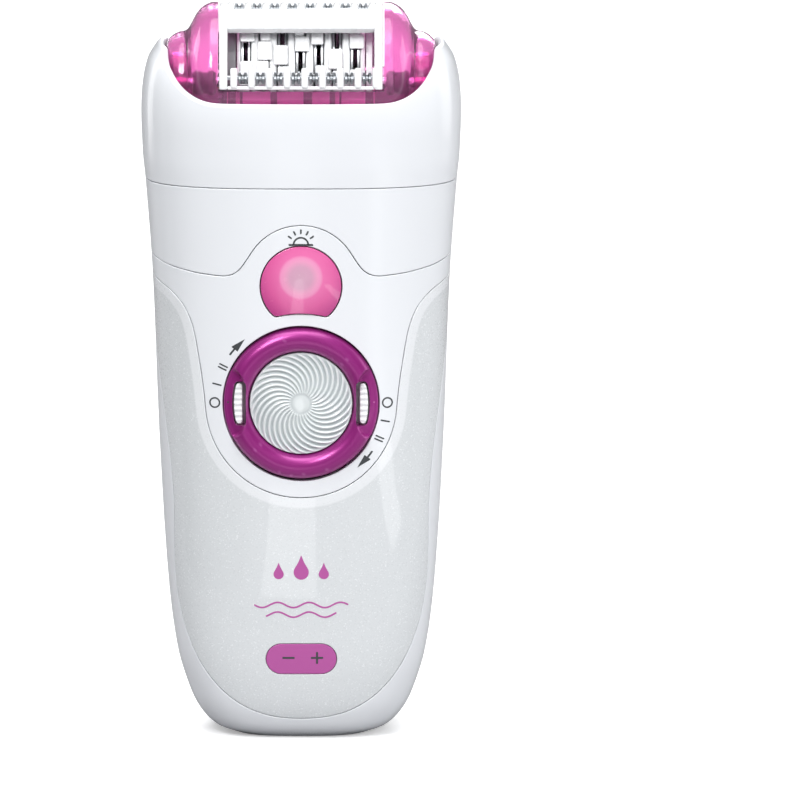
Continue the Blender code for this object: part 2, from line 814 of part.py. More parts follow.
BUTTON_Z = 0.1030
BUTTON_SIZE = (0.0160, 0.0080)


def button_outline_cutter():
    outline = stadium((0.0, BUTTON_Z), BUTTON_SIZE[0] + 2 * GAP, BUTTON_SIZE[1] + 2 * GAP)
    return cutter_extruded("button_hole", outline, "Y", 0.005, 0.040)


def build_release_button():
    face = skin_depth(0.0, BUTTON_Z) + 0.0004
    outline = stadium((0.0, BUTTON_Z), *BUTTON_SIZE)
    button = extruded("release_button", outline, "Y", face - 0.0046, face)
    stem = cylinder("release_stem", 0.0015, face - 0.0066, face - 0.0040, "Y", (0.0, BUTTON_Z), 20)
    boolean(button, finish_cutter(stem), "UNION")
    finish_object(button, "white_shell")

    turns = 4
    points_per_turn = 8
    coil_radius = 0.0026
    start = face - 0.0046 - GAP - 0.0002
    curve = bpy.data.curves.new("release_spring", "CURVE")
    curve.dimensions = "3D"
    curve.bevel_depth = 0.0002
    curve.bevel_resolution = 0
    curve.use_fill_caps = True
    spline = curve.splines.new("POLY")
    spline.points.add(turns * points_per_turn)
    for index, point in enumerate(spline.points):
        angle = 2 * math.pi * index / points_per_turn
        y = start - 0.0034 * index / (turns * points_per_turn)
        point.co = (coil_radius * math.cos(angle), y, coil_radius * math.sin(angle), 1.0)
    spring = bpy.data.objects.new("release_spring", curve)
    spring.location = (0.0, 0.0, BUTTON_Z)
    finish_object(spring, "steel")

    slide = joint_empty("release_slide", (0.0, face, BUTTON_Z))
    carry(slide, button)


# ---------------------------------------------------------------- head unit

HOOK_Y = 0.0125
BASE_PLATE = (0.1153, 0.1172)
SCOOP_Z = 0.1321
SCOOP_CORNER = 0.0107
SCOOP_FLAT = 0.0170
SOCKET_RADIUS = 0.0036
BUSH_INNER_X = 0.0262
BUSH_OUTER_X = 0.0300
BUSH_RADIUS = 0.0025
AXLE_RADIUS = 0.0012
AXLE_END = 0.0295


def scoop_outline():
    """The hollow cut through the collar from front to back, which the housing swivels in."""
    corner = (SCOOP_FLAT, SCOOP_Z + SCOOP_CORNER)
    right = arc(corner, SCOOP_CORNER, -90, 0, 10)
    top = [(right[-1][0], 0.1500)]
    half = right + top
    return [(-x, z) for x, z in reversed(half)] + half


def build_head_unit():
    collar = skin("head_collar", COLLAR_HEIGHTS, COLLAR_WALL, floor=False)
    boolean(collar, cutter_extruded("scoop", scoop_outline(), "Y", FRONT, -FRONT))
    finish_object(collar, "white_shell")

    base = inner_plate("head_base", *BASE_PLATE, COLLAR_WALL)
    hole = cutter_cylinder("socket_hole", SOCKET_RADIUS + GAP, 0.11, 0.12, "Z", (SPINDLE_X, 0.0))
    boolean(base, hole)
    for side, sign in (("front", -1), ("rear", 1)):
        y = sign * HOOK_Y
        near = y - sign * 0.0008
        far = y + sign * 0.0006
        barb = y + sign * 0.0013
        top, catch, tip = 0.1160, 0.1104, 0.1088
        hook = [(near, top), (far, top), (far, 0.1112), (barb, catch), (far, tip), (near, tip)]
        piece = extruded(f"hook_{side}", hook, "X", -0.0040, 0.0040)
        boolean(base, finish_cutter(piece), "UNION")
    finish_object(base, "white_plastic")

    bushes = []
    for side, sign in (("left", -1), ("right", 1)):
        low, high = sorted((sign * BUSH_INNER_X, sign * BUSH_OUTER_X))
        bore = AXLE_RADIUS + 0.0002
        profile = [(BUSH_RADIUS, high), (BUSH_RADIUS, low), (bore, low), (bore, high)]
        bush = turned(f"pivot_bush_{side}", profile, "X", (0.0, 0.0, PIVOT_Z), 24, closed=True)
        bushes.append(finish_object(bush, "white_plastic"))

    lift = joint_empty("head_lift_slide", (0.0, 0.0, BODY_TOP))
    carry(lift, collar, base, *bushes)
    return lift


FACE_PITCH_RADIUS = FACE_TEETH * SPUR_MODULE / 2
PINION_Z = PIVOT_Z - FACE_PITCH_RADIUS
PITCH_PLANE_X = SPINDLE_X + DRIVE_TEETH * SPUR_MODULE / 2


def build_head_drive(lift):
    """The vertical shaft in the head: a socket over the spindle's dog, and a pinion."""
    shaft_radius = 0.0013
    socket_low = COLLAR_LOW + 0.0003
    socket_high = 0.1206
    shaft = turned(
        "head_drive_shaft",
        [(0.0, PINION_Z + 0.0014), (shaft_radius, PINION_Z + 0.0014), (shaft_radius, socket_high),
         (SOCKET_RADIUS, socket_high), (SOCKET_RADIUS, socket_low), (0.0, socket_low)],
        "Z", (SPINDLE_X, 0.0, 0.0), 32,
    )
    bore = cutter_cylinder(
        "dog_bore", 0.0022 + 1.2 * GAP, 0.1100, 0.1195, "Z", (SPINDLE_X, 0.0), 6
    )
    boolean(shaft, bore)
    finish_object(shaft, "grey_plastic")

    pinion = extruded(
        "head_drive_pinion", gear_outline(DRIVE_TEETH, SPUR_MODULE, 0.0), "Z",
        PINION_Z - 0.0009, PINION_Z + 0.0009,
    )
    pinion.location = (SPINDLE_X, 0.0, 0.0)
    bore = cutter_cylinder(
        "pinion_bore", shaft_radius + 0.0002, 0.11, 0.14, "Z", (SPINDLE_X, 0.0), 24
    )
    boolean(pinion, bore)
    finish_object(pinion, "brass")
    axis = joint_empty("head_drive_axis", (SPINDLE_X, 0.0, BODY_TOP))
    carry(lift, axis)
    carry(axis, shaft, pinion)


# ---------------------------------------------------------------- swivelling housing

DOME_INNER_X = 0.0169
HOUSING_WALL = 0.0013
HOUSING_CUT_Z = 0.1222  # leaves the drive shaft free at both ends of the swivel
BAND_TOP_Z = 0.1341


def housing_profile(inset):
    """Outer line of the right half of the housing, or its inner line when inset is given."""
    dome = [(0.0164, 0.0), (0.0166, 0.0180), (0.0151, 0.0205), (0.0122, 0.0223), (0.0109, 0.0231)]
    lobe = [(0.0105, 0.0248), (0.0086, 0.0271)]
    end = 0.0279 - inset
    corner = [(0.0062 - inset, end), (0.0, end)]
    return [(radius - inset, x) for radius, x in dome + lobe] + corner


def whole_profile(inset):
    """The housing's profile from its right end to its left end, both on the axis."""
    right = list(reversed(housing_profile(inset)))
    left = [(radius, -x) for radius, x in housing_profile(inset)[1:]]
    return right[:-1] + left


def build_swivel(lift):
    origin = (0.0, 0.0, PIVOT_Z)
    housing = turned("swivel_housing", whole_profile(0.0), "X", origin, 32)
    hollow = finish_cutter(turned("housing_hollow", whole_profile(HOUSING_WALL), "X", origin, 32))
    boolean(housing, hollow)
    width = DOME_INNER_X
    drum_room = cutter_box("drum_room", (-width, FRONT, BAND_TOP_Z), (width, -FRONT, 0.17))
    boolean(housing, drum_room)
    floor = cutter_box("housing_floor", (-0.05, FRONT, 0.10), (0.05, -FRONT, HOUSING_CUT_Z))
    boolean(housing, floor)
    bush_bore = cutter_cylinder(
        "bush_bore", BUSH_RADIUS + GAP, -0.04, 0.04, "X", (0.0, PIVOT_Z), 32
    )
    boolean(housing, bush_bore)
    finish_object(housing, "pink_clear")
    combs = [build_comb("front", -1), build_comb("rear", 1)]
    axis = joint_empty("swivel_axis", origin)
    carry(lift, axis)
    carry(axis, housing, *combs)
    return axis


def build_comb(side, sign):
    """A bar inside the housing's wall with upright ribs, seen through the band."""
    face = 0.0164 - HOUSING_WALL - 0.0004
    low = PIVOT_Z - 0.0050
    high = PIVOT_Z + 0.0004
    back = face - 0.0010
    reach = math.sqrt(face**2 - 0.0050**2)
    near, far = sorted((sign * back * 0.93, sign * reach))
    comb = box(f"guide_comb_{side}", (-0.0150, near, low), (0.0150, far, high))
    for index in range(7):
        x = (index - 3) * 0.0042
        gap_low = (x - 0.0014, min(near, far) - 0.001, PIVOT_Z - 0.0034)
        gap_high = (x + 0.0014, max(near, far) + 0.001, PIVOT_Z + 0.01)
        boolean(comb, cutter_box(f"comb_gap_{side}_{index}", gap_low, gap_high))
    return finish_object(comb, "grey_plastic")


# ---------------------------------------------------------------- tweezer drum

CORE_RADIUS = 0.0040
FLANGE_RADIUS = 0.0092
FACE_TIP_X = PITCH_PLANE_X + 0.00035
PAIR_ROOM = 2 * DISC_THICKNESS + DISC_OPENING + 2 * GAP + 0.0002


def pair_middle(index):
    return (index - (DISC_PAIRS - 1) / 2) * DISC_PAIR_PITCH


def jaw_outline(phase):
    """A round plate with four raised jaws, as seen along the drum's axis."""
    jaws = 4
    points = []
    steps = 28
    for step in range(steps):
        angle = 2 * math.pi * step / steps
        lift = 0.5 + 0.5 * math.cos(jaws * (angle - phase))
        radius = 0.0094 + (DRUM_RADIUS - 0.0094) * min(1.0, lift * 1.6)
        points.append((radius * math.cos(angle), radius * math.sin(angle)))
    return points


def build_drum(lift):
    origin = (0.0, 0.0, PIVOT_Z)
    axle = turned(
        "drum_axle",
        [(0.0, AXLE_END), (AXLE_RADIUS, AXLE_END), (AXLE_RADIUS, -AXLE_END), (0.0, -AXLE_END)],
        "X", origin, 20,
    )
    finish_object(axle, "steel")

    half = (DISC_PAIRS * DISC_PAIR_PITCH) / 2
    outer = [(AXLE_RADIUS + GAP, half), (FLANGE_RADIUS, half)]
    for index in reversed(range(DISC_PAIRS)):
        middle = pair_middle(index)
        outer += [
            (FLANGE_RADIUS, middle + PAIR_ROOM / 2),
            (CORE_RADIUS, middle + PAIR_ROOM / 2),
            (CORE_RADIUS, middle - PAIR_ROOM / 2),
            (FLANGE_RADIUS, middle - PAIR_ROOM / 2),
        ]
    outer += [(FLANGE_RADIUS, -half), (AXLE_RADIUS + GAP, -half)]
    core = turned("drum_core", outer, "X", origin, 20, closed=True)
    finish_object(core, "white_plastic")

    fixed = []
    clamps = []
    bore = cutter_cylinder("disc_bore", CORE_RADIUS + GAP, -0.03, 0.03, "X", (0.0, PIVOT_Z), 16)
    for index in range(DISC_PAIRS):
        phase = math.radians(90.0 + (index % 2) * 45.0 + index * 9.0)
        middle = pair_middle(index)
        near = middle - PAIR_ROOM / 2 + GAP
        for group, kind, low in (
            (fixed, "fixed", near),
            (clamps, "clamp", near + DISC_THICKNESS + DISC_OPENING),
        ):
            disc = extruded(
                f"{kind}_tweezer_disc_{index + 1}", jaw_outline(phase), "X", low, low + DISC_THICKNESS
            )
            disc.location = origin
            boolean(disc, bore)
            group.append(finish_object(disc, "steel"))

    gear_back = -half - GAP
    gear = turned(
        "drum_gear",
        [(0.0114, gear_back), (0.0114, FACE_TIP_X + 0.0004), (0.0104, FACE_TIP_X + 0.0004),
         (0.0104, PITCH_PLANE_X - 0.00035), (0.0086, PITCH_PLANE_X - 0.00035),
         (0.0086, FACE_TIP_X + 0.0004), (AXLE_RADIUS + GAP, FACE_TIP_X + 0.0004),
         (AXLE_RADIUS + GAP, gear_back)],
        "X", origin, 38, closed=True,
    )
    boolean(gear, face_slots())
    finish_object(gear, "grey_plastic")

    end = turned(
        "drum_end_flange",
        [(AXLE_RADIUS + GAP, half + GAP + 0.0012), (0.0112, half + GAP + 0.0012),
         (0.0112, half + GAP), (AXLE_RADIUS + GAP, half + GAP)],
        "X", origin, 28, closed=True,
    )
    finish_object(end, "white_plastic")

    axis = joint_empty("drum_axis", origin)
    carry(lift, axis)
    carry(axis, axle, core, gear, end, *fixed)
    clamp_slide = joint_empty("clamp_slide", origin)
    carry(axis, clamp_slide)
    carry(clamp_slide, *clamps)


def face_slots():
    """One cutter for the gaps between the face gear's teeth, with a gap at the pinion."""
    pitch = math.pi * SPUR_MODULE
    middle_width = pitch / 2 + 0.00025
    slope = math.tan(PRESSURE_ANGLE)
    tip_x = PITCH_PLANE_X - 0.0010
    root_x = PITCH_PLANE_X + 0.00055
    tip_half = middle_width / 2 + (PITCH_PLANE_X - tip_x) * slope
    root_half = middle_width / 2 - (root_x - PITCH_PLANE_X) * slope
    bm = bmesh.new()
    for tooth in range(FACE_TEETH):
        turn = Matrix.Rotation(2 * math.pi * tooth / FACE_TEETH, 3, "X")
        corners = []
        for radius in (0.0082, 0.0109):
            for x, half in ((tip_x, tip_half), (root_x, root_half)):
                reach = min(half, pitch * 0.499 * radius / FACE_PITCH_RADIUS)
                for y in (-reach, reach):
                    corners.append(bm.verts.new(turn @ Vector((x, y, -radius))))
        a, b, c, d, e, f, g, h = corners
        ends = ((a, b, d, c), (e, g, h, f))
        sides = ((a, e, f, b), (c, d, h, g), (a, c, g, e), (b, f, h, d))
        for face in ends + sides:
            bm.faces.new(face)
    slots = mesh_object("face_slots", bm)
    slots.location = (0.0, 0.0, PIVOT_Z)
    return finish_cutter(slots)


# ---------------------------------------------------------------- massage cap


def on_cap(radius, angle):
    """The y and z of a point at a radius and angle round the swivel axis, front first."""
    return -radius * math.cos(angle), PIVOT_Z + radius * math.sin(angle)


def cap_section():
    """The cap's arched section, from its front edge over the top to its rear edge."""
    start, end, steps = math.radians(4.0), math.radians(176.0), 18
    angles = [start + (end - start) * step / steps for step in range(steps + 1)]
    outer = [on_cap(CAP_RADIUS, angle) for angle in angles]
    inner = [on_cap(CAP_RADIUS - CAP_THICKNESS, angle) for angle in reversed(angles)]
    return outer + inner


def wedge(start_degrees, end_degrees, low, high):
    """The (y, z) outline of a sector slice between two radii."""
    angles = [math.radians(start_degrees + (end_degrees - start_degrees) * k / 6) for k in range(7)]
    outer = [on_cap(high, angle) for angle in angles]
    inner = [on_cap(low, angle) for angle in reversed(angles)]
    return outer + inner


def roller_x(index, shift):
    return (index - (ROLLERS - 1) / 2) * ROLLER_PITCH + shift


def star_outline(centre, tip=0.00138, valley=0.00085, points=6):
    outline = []
    for index in range(points * 2):
        radius = tip if index % 2 == 0 else valley
        angle = math.pi * index / points
        outline.append((centre[0] + radius * math.cos(angle), centre[1] + radius * math.sin(angle)))
    return outline


def build_roller_bar(side, shift, y, z):
    """An axle with eight star wheels, which turn together in the cap."""
    bar = cylinder(f"{side}_roller_bar", 0.0005, -0.0153, 0.0153, "X", (y, z), 8)
    for index in range(ROLLERS):
        x = roller_x(index, shift)
        star = extruded(f"{side}_star_{index}", star_outline((y, z)), "X", x - 0.0009, x + 0.0009)
        boolean(bar, finish_cutter(star), "UNION")
    return finish_object(bar, "steel")


def build_cap(swivel):
    frame = extruded("cap_frame", cap_section(), "X", -CAP_HALF_WIDTH, CAP_HALF_WIDTH)
    low, high = CAP_RADIUS - 0.0040, CAP_RADIUS + 0.0040
    window = cutter_extruded("tweezer_window", wedge(21, 52, low, high), "X", -0.0148, 0.0148)
    boolean(frame, window)
    bars = []
    for side, angle, shift, room in (
        ("front", FRONT_ROLLER_ANGLE, FRONT_ROLLER_SHIFT, (6.5, 26)),
        ("rear", REAR_ROLLER_ANGLE, 0.0, (92, 108)),
    ):
        for index in range(ROLLERS):
            x = roller_x(index, shift)
            slot = cutter_extruded(
                f"{side}_roller_slot_{index}", wedge(*room, low, high), "X", x - 0.0012, x + 0.0012
            )
            boolean(frame, slot)
        y, z = on_cap(ROLLER_AXIS_RADIUS, angle)
        bore = cutter_cylinder(f"{side}_roller_bore", 0.0008, -0.0156, 0.0156, "X", (y, z), 16)
        boolean(frame, bore)
        bars.append((build_roller_bar(side, shift, y, z), (0.0, y, z), side))
    finish_object(frame, "white_shell")
    lift = joint_empty("cap_lift_slide", (0.0, 0.0, PIVOT_Z + CAP_RADIUS))
    carry(swivel, lift)
    carry(lift, frame)
    for bar, place, side in bars:
        axis = joint_empty(f"{side}_roller_axis", place)
        carry(lift, axis)
        carry(axis, bar)


# ---------------------------------------------------------------- assembly

build_handle_shells()
build_lens()
build_switch()
build_drive()
build_inside()
build_inlet()
build_release_button()
head_lift = build_head_unit()
build_head_drive(head_lift)
swivel_axis = build_swivel(head_lift)
build_drum(head_lift)
build_cap(swivel_axis)
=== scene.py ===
"""Looks of a cordless wet-and-dry epilator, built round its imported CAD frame.

Metres, +Z up, the front of the handle faces -Y. The handle's skin is a stack of superellipse
sections. A place on it is (u, z): u is measured round the section from the front's middle,
positive to the right as seen from the front, and z is the height.
"""

import json
import math
from collections import namedtuple

import bmesh
import bpy
import numpy as np
from mathutils import Matrix, Vector
from mathutils.geometry import delaunay_2d_cdt
from mathutils.kdtree import KDTree

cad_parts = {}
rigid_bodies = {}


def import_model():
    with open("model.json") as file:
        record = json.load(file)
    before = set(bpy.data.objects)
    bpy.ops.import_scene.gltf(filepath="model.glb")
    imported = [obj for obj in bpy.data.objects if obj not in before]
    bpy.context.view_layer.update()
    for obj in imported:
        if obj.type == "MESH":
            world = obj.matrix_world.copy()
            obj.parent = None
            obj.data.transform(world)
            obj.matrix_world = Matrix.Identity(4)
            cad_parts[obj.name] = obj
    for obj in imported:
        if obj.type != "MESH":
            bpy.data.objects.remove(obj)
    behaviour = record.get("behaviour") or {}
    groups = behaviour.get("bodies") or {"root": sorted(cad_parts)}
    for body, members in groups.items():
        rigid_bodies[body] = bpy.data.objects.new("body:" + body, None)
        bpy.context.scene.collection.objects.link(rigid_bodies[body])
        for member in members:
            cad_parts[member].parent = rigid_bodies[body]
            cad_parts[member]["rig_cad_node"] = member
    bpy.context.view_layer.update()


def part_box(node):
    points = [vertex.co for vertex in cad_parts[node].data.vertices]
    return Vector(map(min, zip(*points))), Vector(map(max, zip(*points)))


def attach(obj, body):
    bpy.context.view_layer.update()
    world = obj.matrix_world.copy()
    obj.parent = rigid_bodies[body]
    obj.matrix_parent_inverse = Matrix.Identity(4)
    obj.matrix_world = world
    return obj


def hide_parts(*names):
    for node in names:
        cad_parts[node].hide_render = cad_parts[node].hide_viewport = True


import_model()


def middle_of(node):
    low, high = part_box(node)
    return (low + high) / 2


# ---------------------------------------------------------------- driving dimensions

MM = 0.001
SEAM = 0.16 * MM  # width of the line between two pieces of the handle
EDGE = 0.16 * MM  # rounding of those pieces' edges
HANDLE_WALL = 2.2 * MM
BASE_WALL = 0.9 * MM
BASE_Z = 0.02 * MM
PANELS_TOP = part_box("front_shell")[1].z + 0.05 * MM
COLLAR_WALL = 1.6 * MM
SKIN_SPACING = 1.1 * MM  # between the points that fill a piece of the skin
CLEAR_OF_RIM = 0.45 * MM  # within this of a piece's edge there are none

COLLAR_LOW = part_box("head_collar")[0].z
COLLAR_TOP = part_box("head_collar")[1].z

# Sections of the outer skin: height, half width, half depth.
SECTIONS = (
    (0.0000, 0.0135, 0.0105),
    (0.0016, 0.0176, 0.0134),
    (0.0047, 0.0207, 0.0153),
    (0.0090, 0.0229, 0.0165),
    (0.0174, 0.0254, 0.0175),
    (0.0326, 0.0273, 0.0181),
    (0.0610, 0.0290, 0.0184),
    (0.0945, 0.0303, 0.0189),
    (0.1138, 0.0317, 0.0196),
    (0.1200, 0.0323, 0.0200),
    (0.1310, 0.0325, 0.0202),
    (0.1382, 0.0313, 0.0186),
    (0.1424, 0.0288, 0.0150),
)
POWER = 3.0  # of the superellipse that every section follows
GIRTH_HALF_WIDTH = 30.0 * MM  # of the typical section along which u is measured
GIRTH_HALF_DEPTH = 18.8 * MM
INSIDE_CAD = (0.9995, 0.9990)  # keeps the skin's half width and half depth inside the CAD body

DIAL_Z = middle_of("switch_ring").z
DIAL_RADIUS = 15.7 * MM
DIAL_BORE = 10.6 * MM
DIAL_FRONT = 19.9 * MM  # how far the ring's crown stands in front of the middle plane
LENS_Z = 94.5 * MM
LENS_RADIUS = 8.35 * MM
LENS_NOTCH = 18.5 * MM
PILL_Z = middle_of("charge_indicator").z
PILL_SIZE = (14.4 * MM, 6.3 * MM)

PIVOT_Z = middle_of("drum_axle").z
SWIVEL_AXIS = (0.0, PIVOT_Z)
CAP_RADIUS = 16.2 * MM
CAP_HALF_WIDTH = 16.6 * MM
ROLLERS = 8
ROLLER_PITCH = 3.6 * MM
FRONT_ROLLER_SHIFT = 0.8 * MM
ROLLER_AXIS_RADIUS = 15.1 * MM
FRONT_ROLLER_ANGLE = 13.0  # degrees from the front, up round the swivel axis
REAR_ROLLER_ANGLE = 100.0

# ---------------------------------------------------------------- flat curves


def arc(centre, radius, start, end, steps):
    """Points along an arc, angles in degrees, both ends included."""
    angles = np.radians(np.linspace(start, end, steps + 1))
    return [(centre[0] + radius * math.cos(a), centre[1] + radius * math.sin(a)) for a in angles]


def stadium(centre, length, height, steps=16):
    radius = height / 2
    reach = length / 2 - radius
    right = arc((centre[0] + reach, centre[1]), radius, -90, 90, steps)
    left = arc((centre[0] - reach, centre[1]), radius, 90, 270, steps)
    return right + left


def curve_through(points, per_span=6):
    """A smooth open line through the points, a Catmull-Rom spline."""
    p = np.array(points)
    padded = np.vstack([2 * p[0] - p[1], p, 2 * p[-1] - p[-2]])
    line = []
    for a, b, c, d in zip(padded, padded[1:], padded[2:], padded[3:]):
        for t in np.linspace(0, 1, per_span, endpoint=False):
            bend = (2 * a - 5 * b + 4 * c - d) * t**2 + (3 * b - a - 3 * c + d) * t**3
            line.append(b + ((c - a) * t + bend) / 2)
    line.append(p[-1])
    return np.array(line)


def resampled(points, spacing, closed=False):
    """The same line with evenly spaced points."""
    p = np.array(points, float)
    if closed:
        p = np.vstack([p, p[:1]])
    along = np.concatenate([[0], np.cumsum(np.linalg.norm(np.diff(p, axis=0), axis=1))])
    count = max(int(round(along[-1] / spacing)), 4)
    stations = np.linspace(0, along[-1], count + 1)
    if closed:
        stations = stations[:-1]
    return np.column_stack([np.interp(stations, along, p[:, k]) for k in range(p.shape[1])])


def softened(loop, rounds):
    """A closed loop with its corners rounded off."""
    loop = np.array(loop)
    for _ in range(rounds):
        loop = loop / 2 + (np.roll(loop, 1, axis=0) + np.roll(loop, -1, axis=0)) / 4
    return loop


def eased(line, spacing, rounds):
    """An open line with its bends made gentler and its ends kept."""
    line = resampled(line, spacing)
    for _ in range(rounds):
        line[1:-1] = line[1:-1] / 2 + (line[:-2] + line[2:]) / 4
    return line


def smoothstep(t):
    t = np.clip(t, 0.0, 1.0)
    return t * t * (3 - 2 * t)


# ---------------------------------------------------------------- the outer skin


def section_table():
    """Fine tables of height, half width and half depth, on a smooth curve through SECTIONS."""
    rows = np.array(SECTIONS)
    slopes = np.empty((len(rows), 2))
    for k in range(len(rows)):
        before = max(k - 1, 0)
        after = min(k + 1, len(rows) - 1)
        slopes[k] = (rows[after, 1:] - rows[before, 1:]) / (rows[after, 0] - rows[before, 0])
    heights = np.linspace(0, rows[-1, 0], 1425)
    k = np.clip(np.searchsorted(rows[:, 0], heights, side="right") - 1, 0, len(rows) - 2)
    span = rows[k + 1, 0] - rows[k, 0]
    t = (heights - rows[k, 0]) / span
    sizes = [
        rows[k, c] * (2 * t**3 - 3 * t**2 + 1)
        + rows[k + 1, c] * (3 * t**2 - 2 * t**3)
        + slopes[k, c - 1] * span * (t**3 - 2 * t**2 + t)
        + slopes[k + 1, c - 1] * span * (t**3 - t**2)
        for c in (1, 2)
    ]
    return heights, sizes[0] * INSIDE_CAD[0], sizes[1] * INSIDE_CAD[1]


HEIGHTS, HALF_WIDTHS, HALF_DEPTHS = section_table()
WIDTH_SLOPES = np.gradient(HALF_WIDTHS, HEIGHTS)
DEPTH_SLOPES = np.gradient(HALF_DEPTHS, HEIGHTS)


def superellipse(turn):
    """Sideways and forward shares of a section's outline, for directions round it."""
    reach = (np.abs(np.sin(turn)) ** POWER + np.abs(np.cos(turn)) ** POWER) ** (-1 / POWER)
    return reach * np.sin(turn), reach * np.cos(turn)


def girth_table():
    """Direction round a typical section, from the front's middle to the back's, and the way along it."""
    turn = np.linspace(0, math.pi, 3000)
    across, forward = superellipse(turn)
    steps = np.hypot(np.diff(GIRTH_HALF_WIDTH * across), np.diff(GIRTH_HALF_DEPTH * forward))
    return turn, np.concatenate([[0], np.cumsum(steps)])


TURNS, WAYS = girth_table()
HALF_GIRTH = WAYS[-1]
SIDE = float(np.interp(math.pi / 2, TURNS, WAYS))  # u of the right side, halfway to the back


def half_width(z):
    return np.interp(z, HEIGHTS, HALF_WIDTHS)


def half_depth(z):
    return np.interp(z, HEIGHTS, HALF_DEPTHS)


def skin(places):
    """Points on the skin and their outward normals, for rows of (u, z)."""
    u, z = np.array(places, float).T
    across, forward = superellipse(np.interp(np.abs(u), WAYS, TURNS))
    a, b = np.sign(u) * across, -forward
    w, d = half_width(z), half_depth(z)
    rise = np.abs(a) ** POWER * np.interp(z, HEIGHTS, WIDTH_SLOPES) / w
    rise += np.abs(b) ** POWER * np.interp(z, HEIGHTS, DEPTH_SLOPES) / d
    normals = np.column_stack([a * np.abs(a) / w, b * np.abs(b) / d, -rise])
    return np.column_stack([w * a, d * b, z]), unit(normals)


def unit(vectors):
    return vectors / np.linalg.norm(vectors, axis=1, keepdims=True)


def places_at(x, turn, z):
    """Rows of (u, z) for directions round the sections, on the side that x is on."""
    return np.column_stack([np.where(x < 0, -1, 1) * np.interp(turn, TURNS, WAYS), z])


def place_of(points):
    """The (u, z) nearest to points close to the skin."""
    x, y, z = np.array(points).T
    return places_at(x, np.arctan2(np.abs(x / half_width(z)), -y / half_depth(z)), z)


def seen_from_front(points, back=False):
    """(u, z) of (x, z) points on the front of the skin, or on its back."""
    x, z = np.array(points, float).T
    a = np.clip(np.abs(x / half_width(z)), 0, 1)
    b = (1 - a**POWER) ** (1 / POWER)
    return places_at(x, np.arctan2(a, -b if back else b), z)


def skin_depth(x, z):
    share = np.minimum(np.abs(x) / half_width(z), 1.0)
    return half_depth(z) * (1 - share**POWER) ** (1 / POWER)


SCALE = math.pi / HALF_GIRTH


def to_plane(places):
    """Lays the skin out flat as rings round the base, without changing its angles."""
    u, z = np.array(places, float).T
    radius = np.exp(SCALE * z)
    return np.column_stack([radius * np.sin(SCALE * u), radius * np.cos(SCALE * u)])


def from_plane(flat):
    p, q = np.array(flat, float).T
    return np.column_stack([np.arctan2(p, q) / SCALE, np.log(np.hypot(p, q)) / SCALE])


def as_is(places):
    return np.array(places, float)


def front_places(points):
    """The (x, z) of points on a surface that faces the front."""
    return points[:, [0, 2]]


# What shell needs to know of a surface: points and normals for places, the place nearest to a
# point, and the way from places to flat points and back.
Surface = namedtuple("Surface", "lift nearest flatten unflatten")
SKIN = Surface(skin, place_of, to_plane, from_plane)


def facing_front(height, step=0.01 * MM):
    """The surface y = -height(x, z), whose places are (x, z)."""

    def lift(places):
        x, z = np.array(places, float).T
        slope_x = (height(x + step, z) - height(x - step, z)) / (2 * step)
        slope_z = (height(x, z + step) - height(x, z - step)) / (2 * step)
        normals = np.column_stack([-slope_x, -np.ones(len(x)), -slope_z])
        return np.column_stack([x, -height(x, z), z]), unit(normals)

    return Surface(lift, front_places, as_is, as_is)


# ---------------------------------------------------------------- meshes


def signed_area(loop):
    x, y = np.array(loop).T
    return 0.5 * float(np.sum(x * np.roll(y, -1) - y * np.roll(x, -1)))


def inside(points, loop):
    """Which points are inside a closed loop, all of them flat."""
    px, py = points[:, :1], points[:, 1:]
    ax, ay = loop.T
    bx, by = np.roll(loop, -1, axis=0).T
    rise = np.where(by == ay, 1e-30, by - ay)
    crossing = ((ay > py) != (by > py)) & (px < (bx - ax) * (py - ay) / rise + ax)
    return crossing.sum(1) % 2 == 1


def triangulated(loops, fill):
    """Triangles between closed flat loops, the first outside and the others holes.

    Returns the flat points, loops first and in order, and the triangles."""
    keep = np.ones(len(fill), bool)
    for k, loop in enumerate(loops):
        keep &= inside(fill, loop) == (k == 0)
    flat = np.vstack([*loops, fill[keep]])
    edges = []
    start = 0
    for loop in loops:
        n = len(loop)
        edges += [(start + k, start + (k + 1) % n) for k in range(n)]
        start += n
    found = delaunay_2d_cdt([Vector(p) for p in flat], edges, [], 1, 1e-10)
    triangles, origin = found[2], found[3]
    where = {}
    for new, olds in enumerate(origin):
        for old in olds:
            where[old] = new
    back = {new: old for old, new in where.items()}
    triangles = [tuple(back[v] for v in t) for t in triangles if all(v in back for v in t)]
    middles = np.array([flat[list(t)].mean(0) for t in triangles])
    good = np.ones(len(middles), bool)
    for k, loop in enumerate(loops):
        good &= inside(middles, loop) == (k == 0)
    return flat, [t for t, g in zip(triangles, good) if g]


def placed(name, data):
    """An object in the scene, from a mesh, a light or a camera."""
    obj = bpy.data.objects.new(name, data)
    bpy.context.scene.collection.objects.link(obj)
    return obj


def object_from(bm, name):
    """Ends a bmesh and puts what it holds into the scene."""
    mesh = bpy.data.meshes.new(name)
    bm.to_mesh(mesh)
    bm.free()
    return placed(name, mesh)


def smooth_mesh(name, points, faces, normals=None):
    mesh = bpy.data.meshes.new(name)
    mesh.from_pydata([tuple(map(float, p)) for p in points], [], faces)
    mesh.validate()
    mesh.shade_smooth()
    if normals is not None:
        mesh.normals_split_custom_set_from_vertices([tuple(map(float, n)) for n in normals])
    return placed(name, mesh)


def nearest_among(points):
    """A tree that finds the nearest of the points."""
    tree = KDTree(len(points))
    for k, p in enumerate(points):
        tree.insert(p, k)
    tree.balance()
    return tree


def store(obj, name, values):
    """Keeps a value for every point of a mesh, for its material to read."""
    obj.data.attributes.new(name, "FLOAT", "POINT").data.foreach_set("value", values)


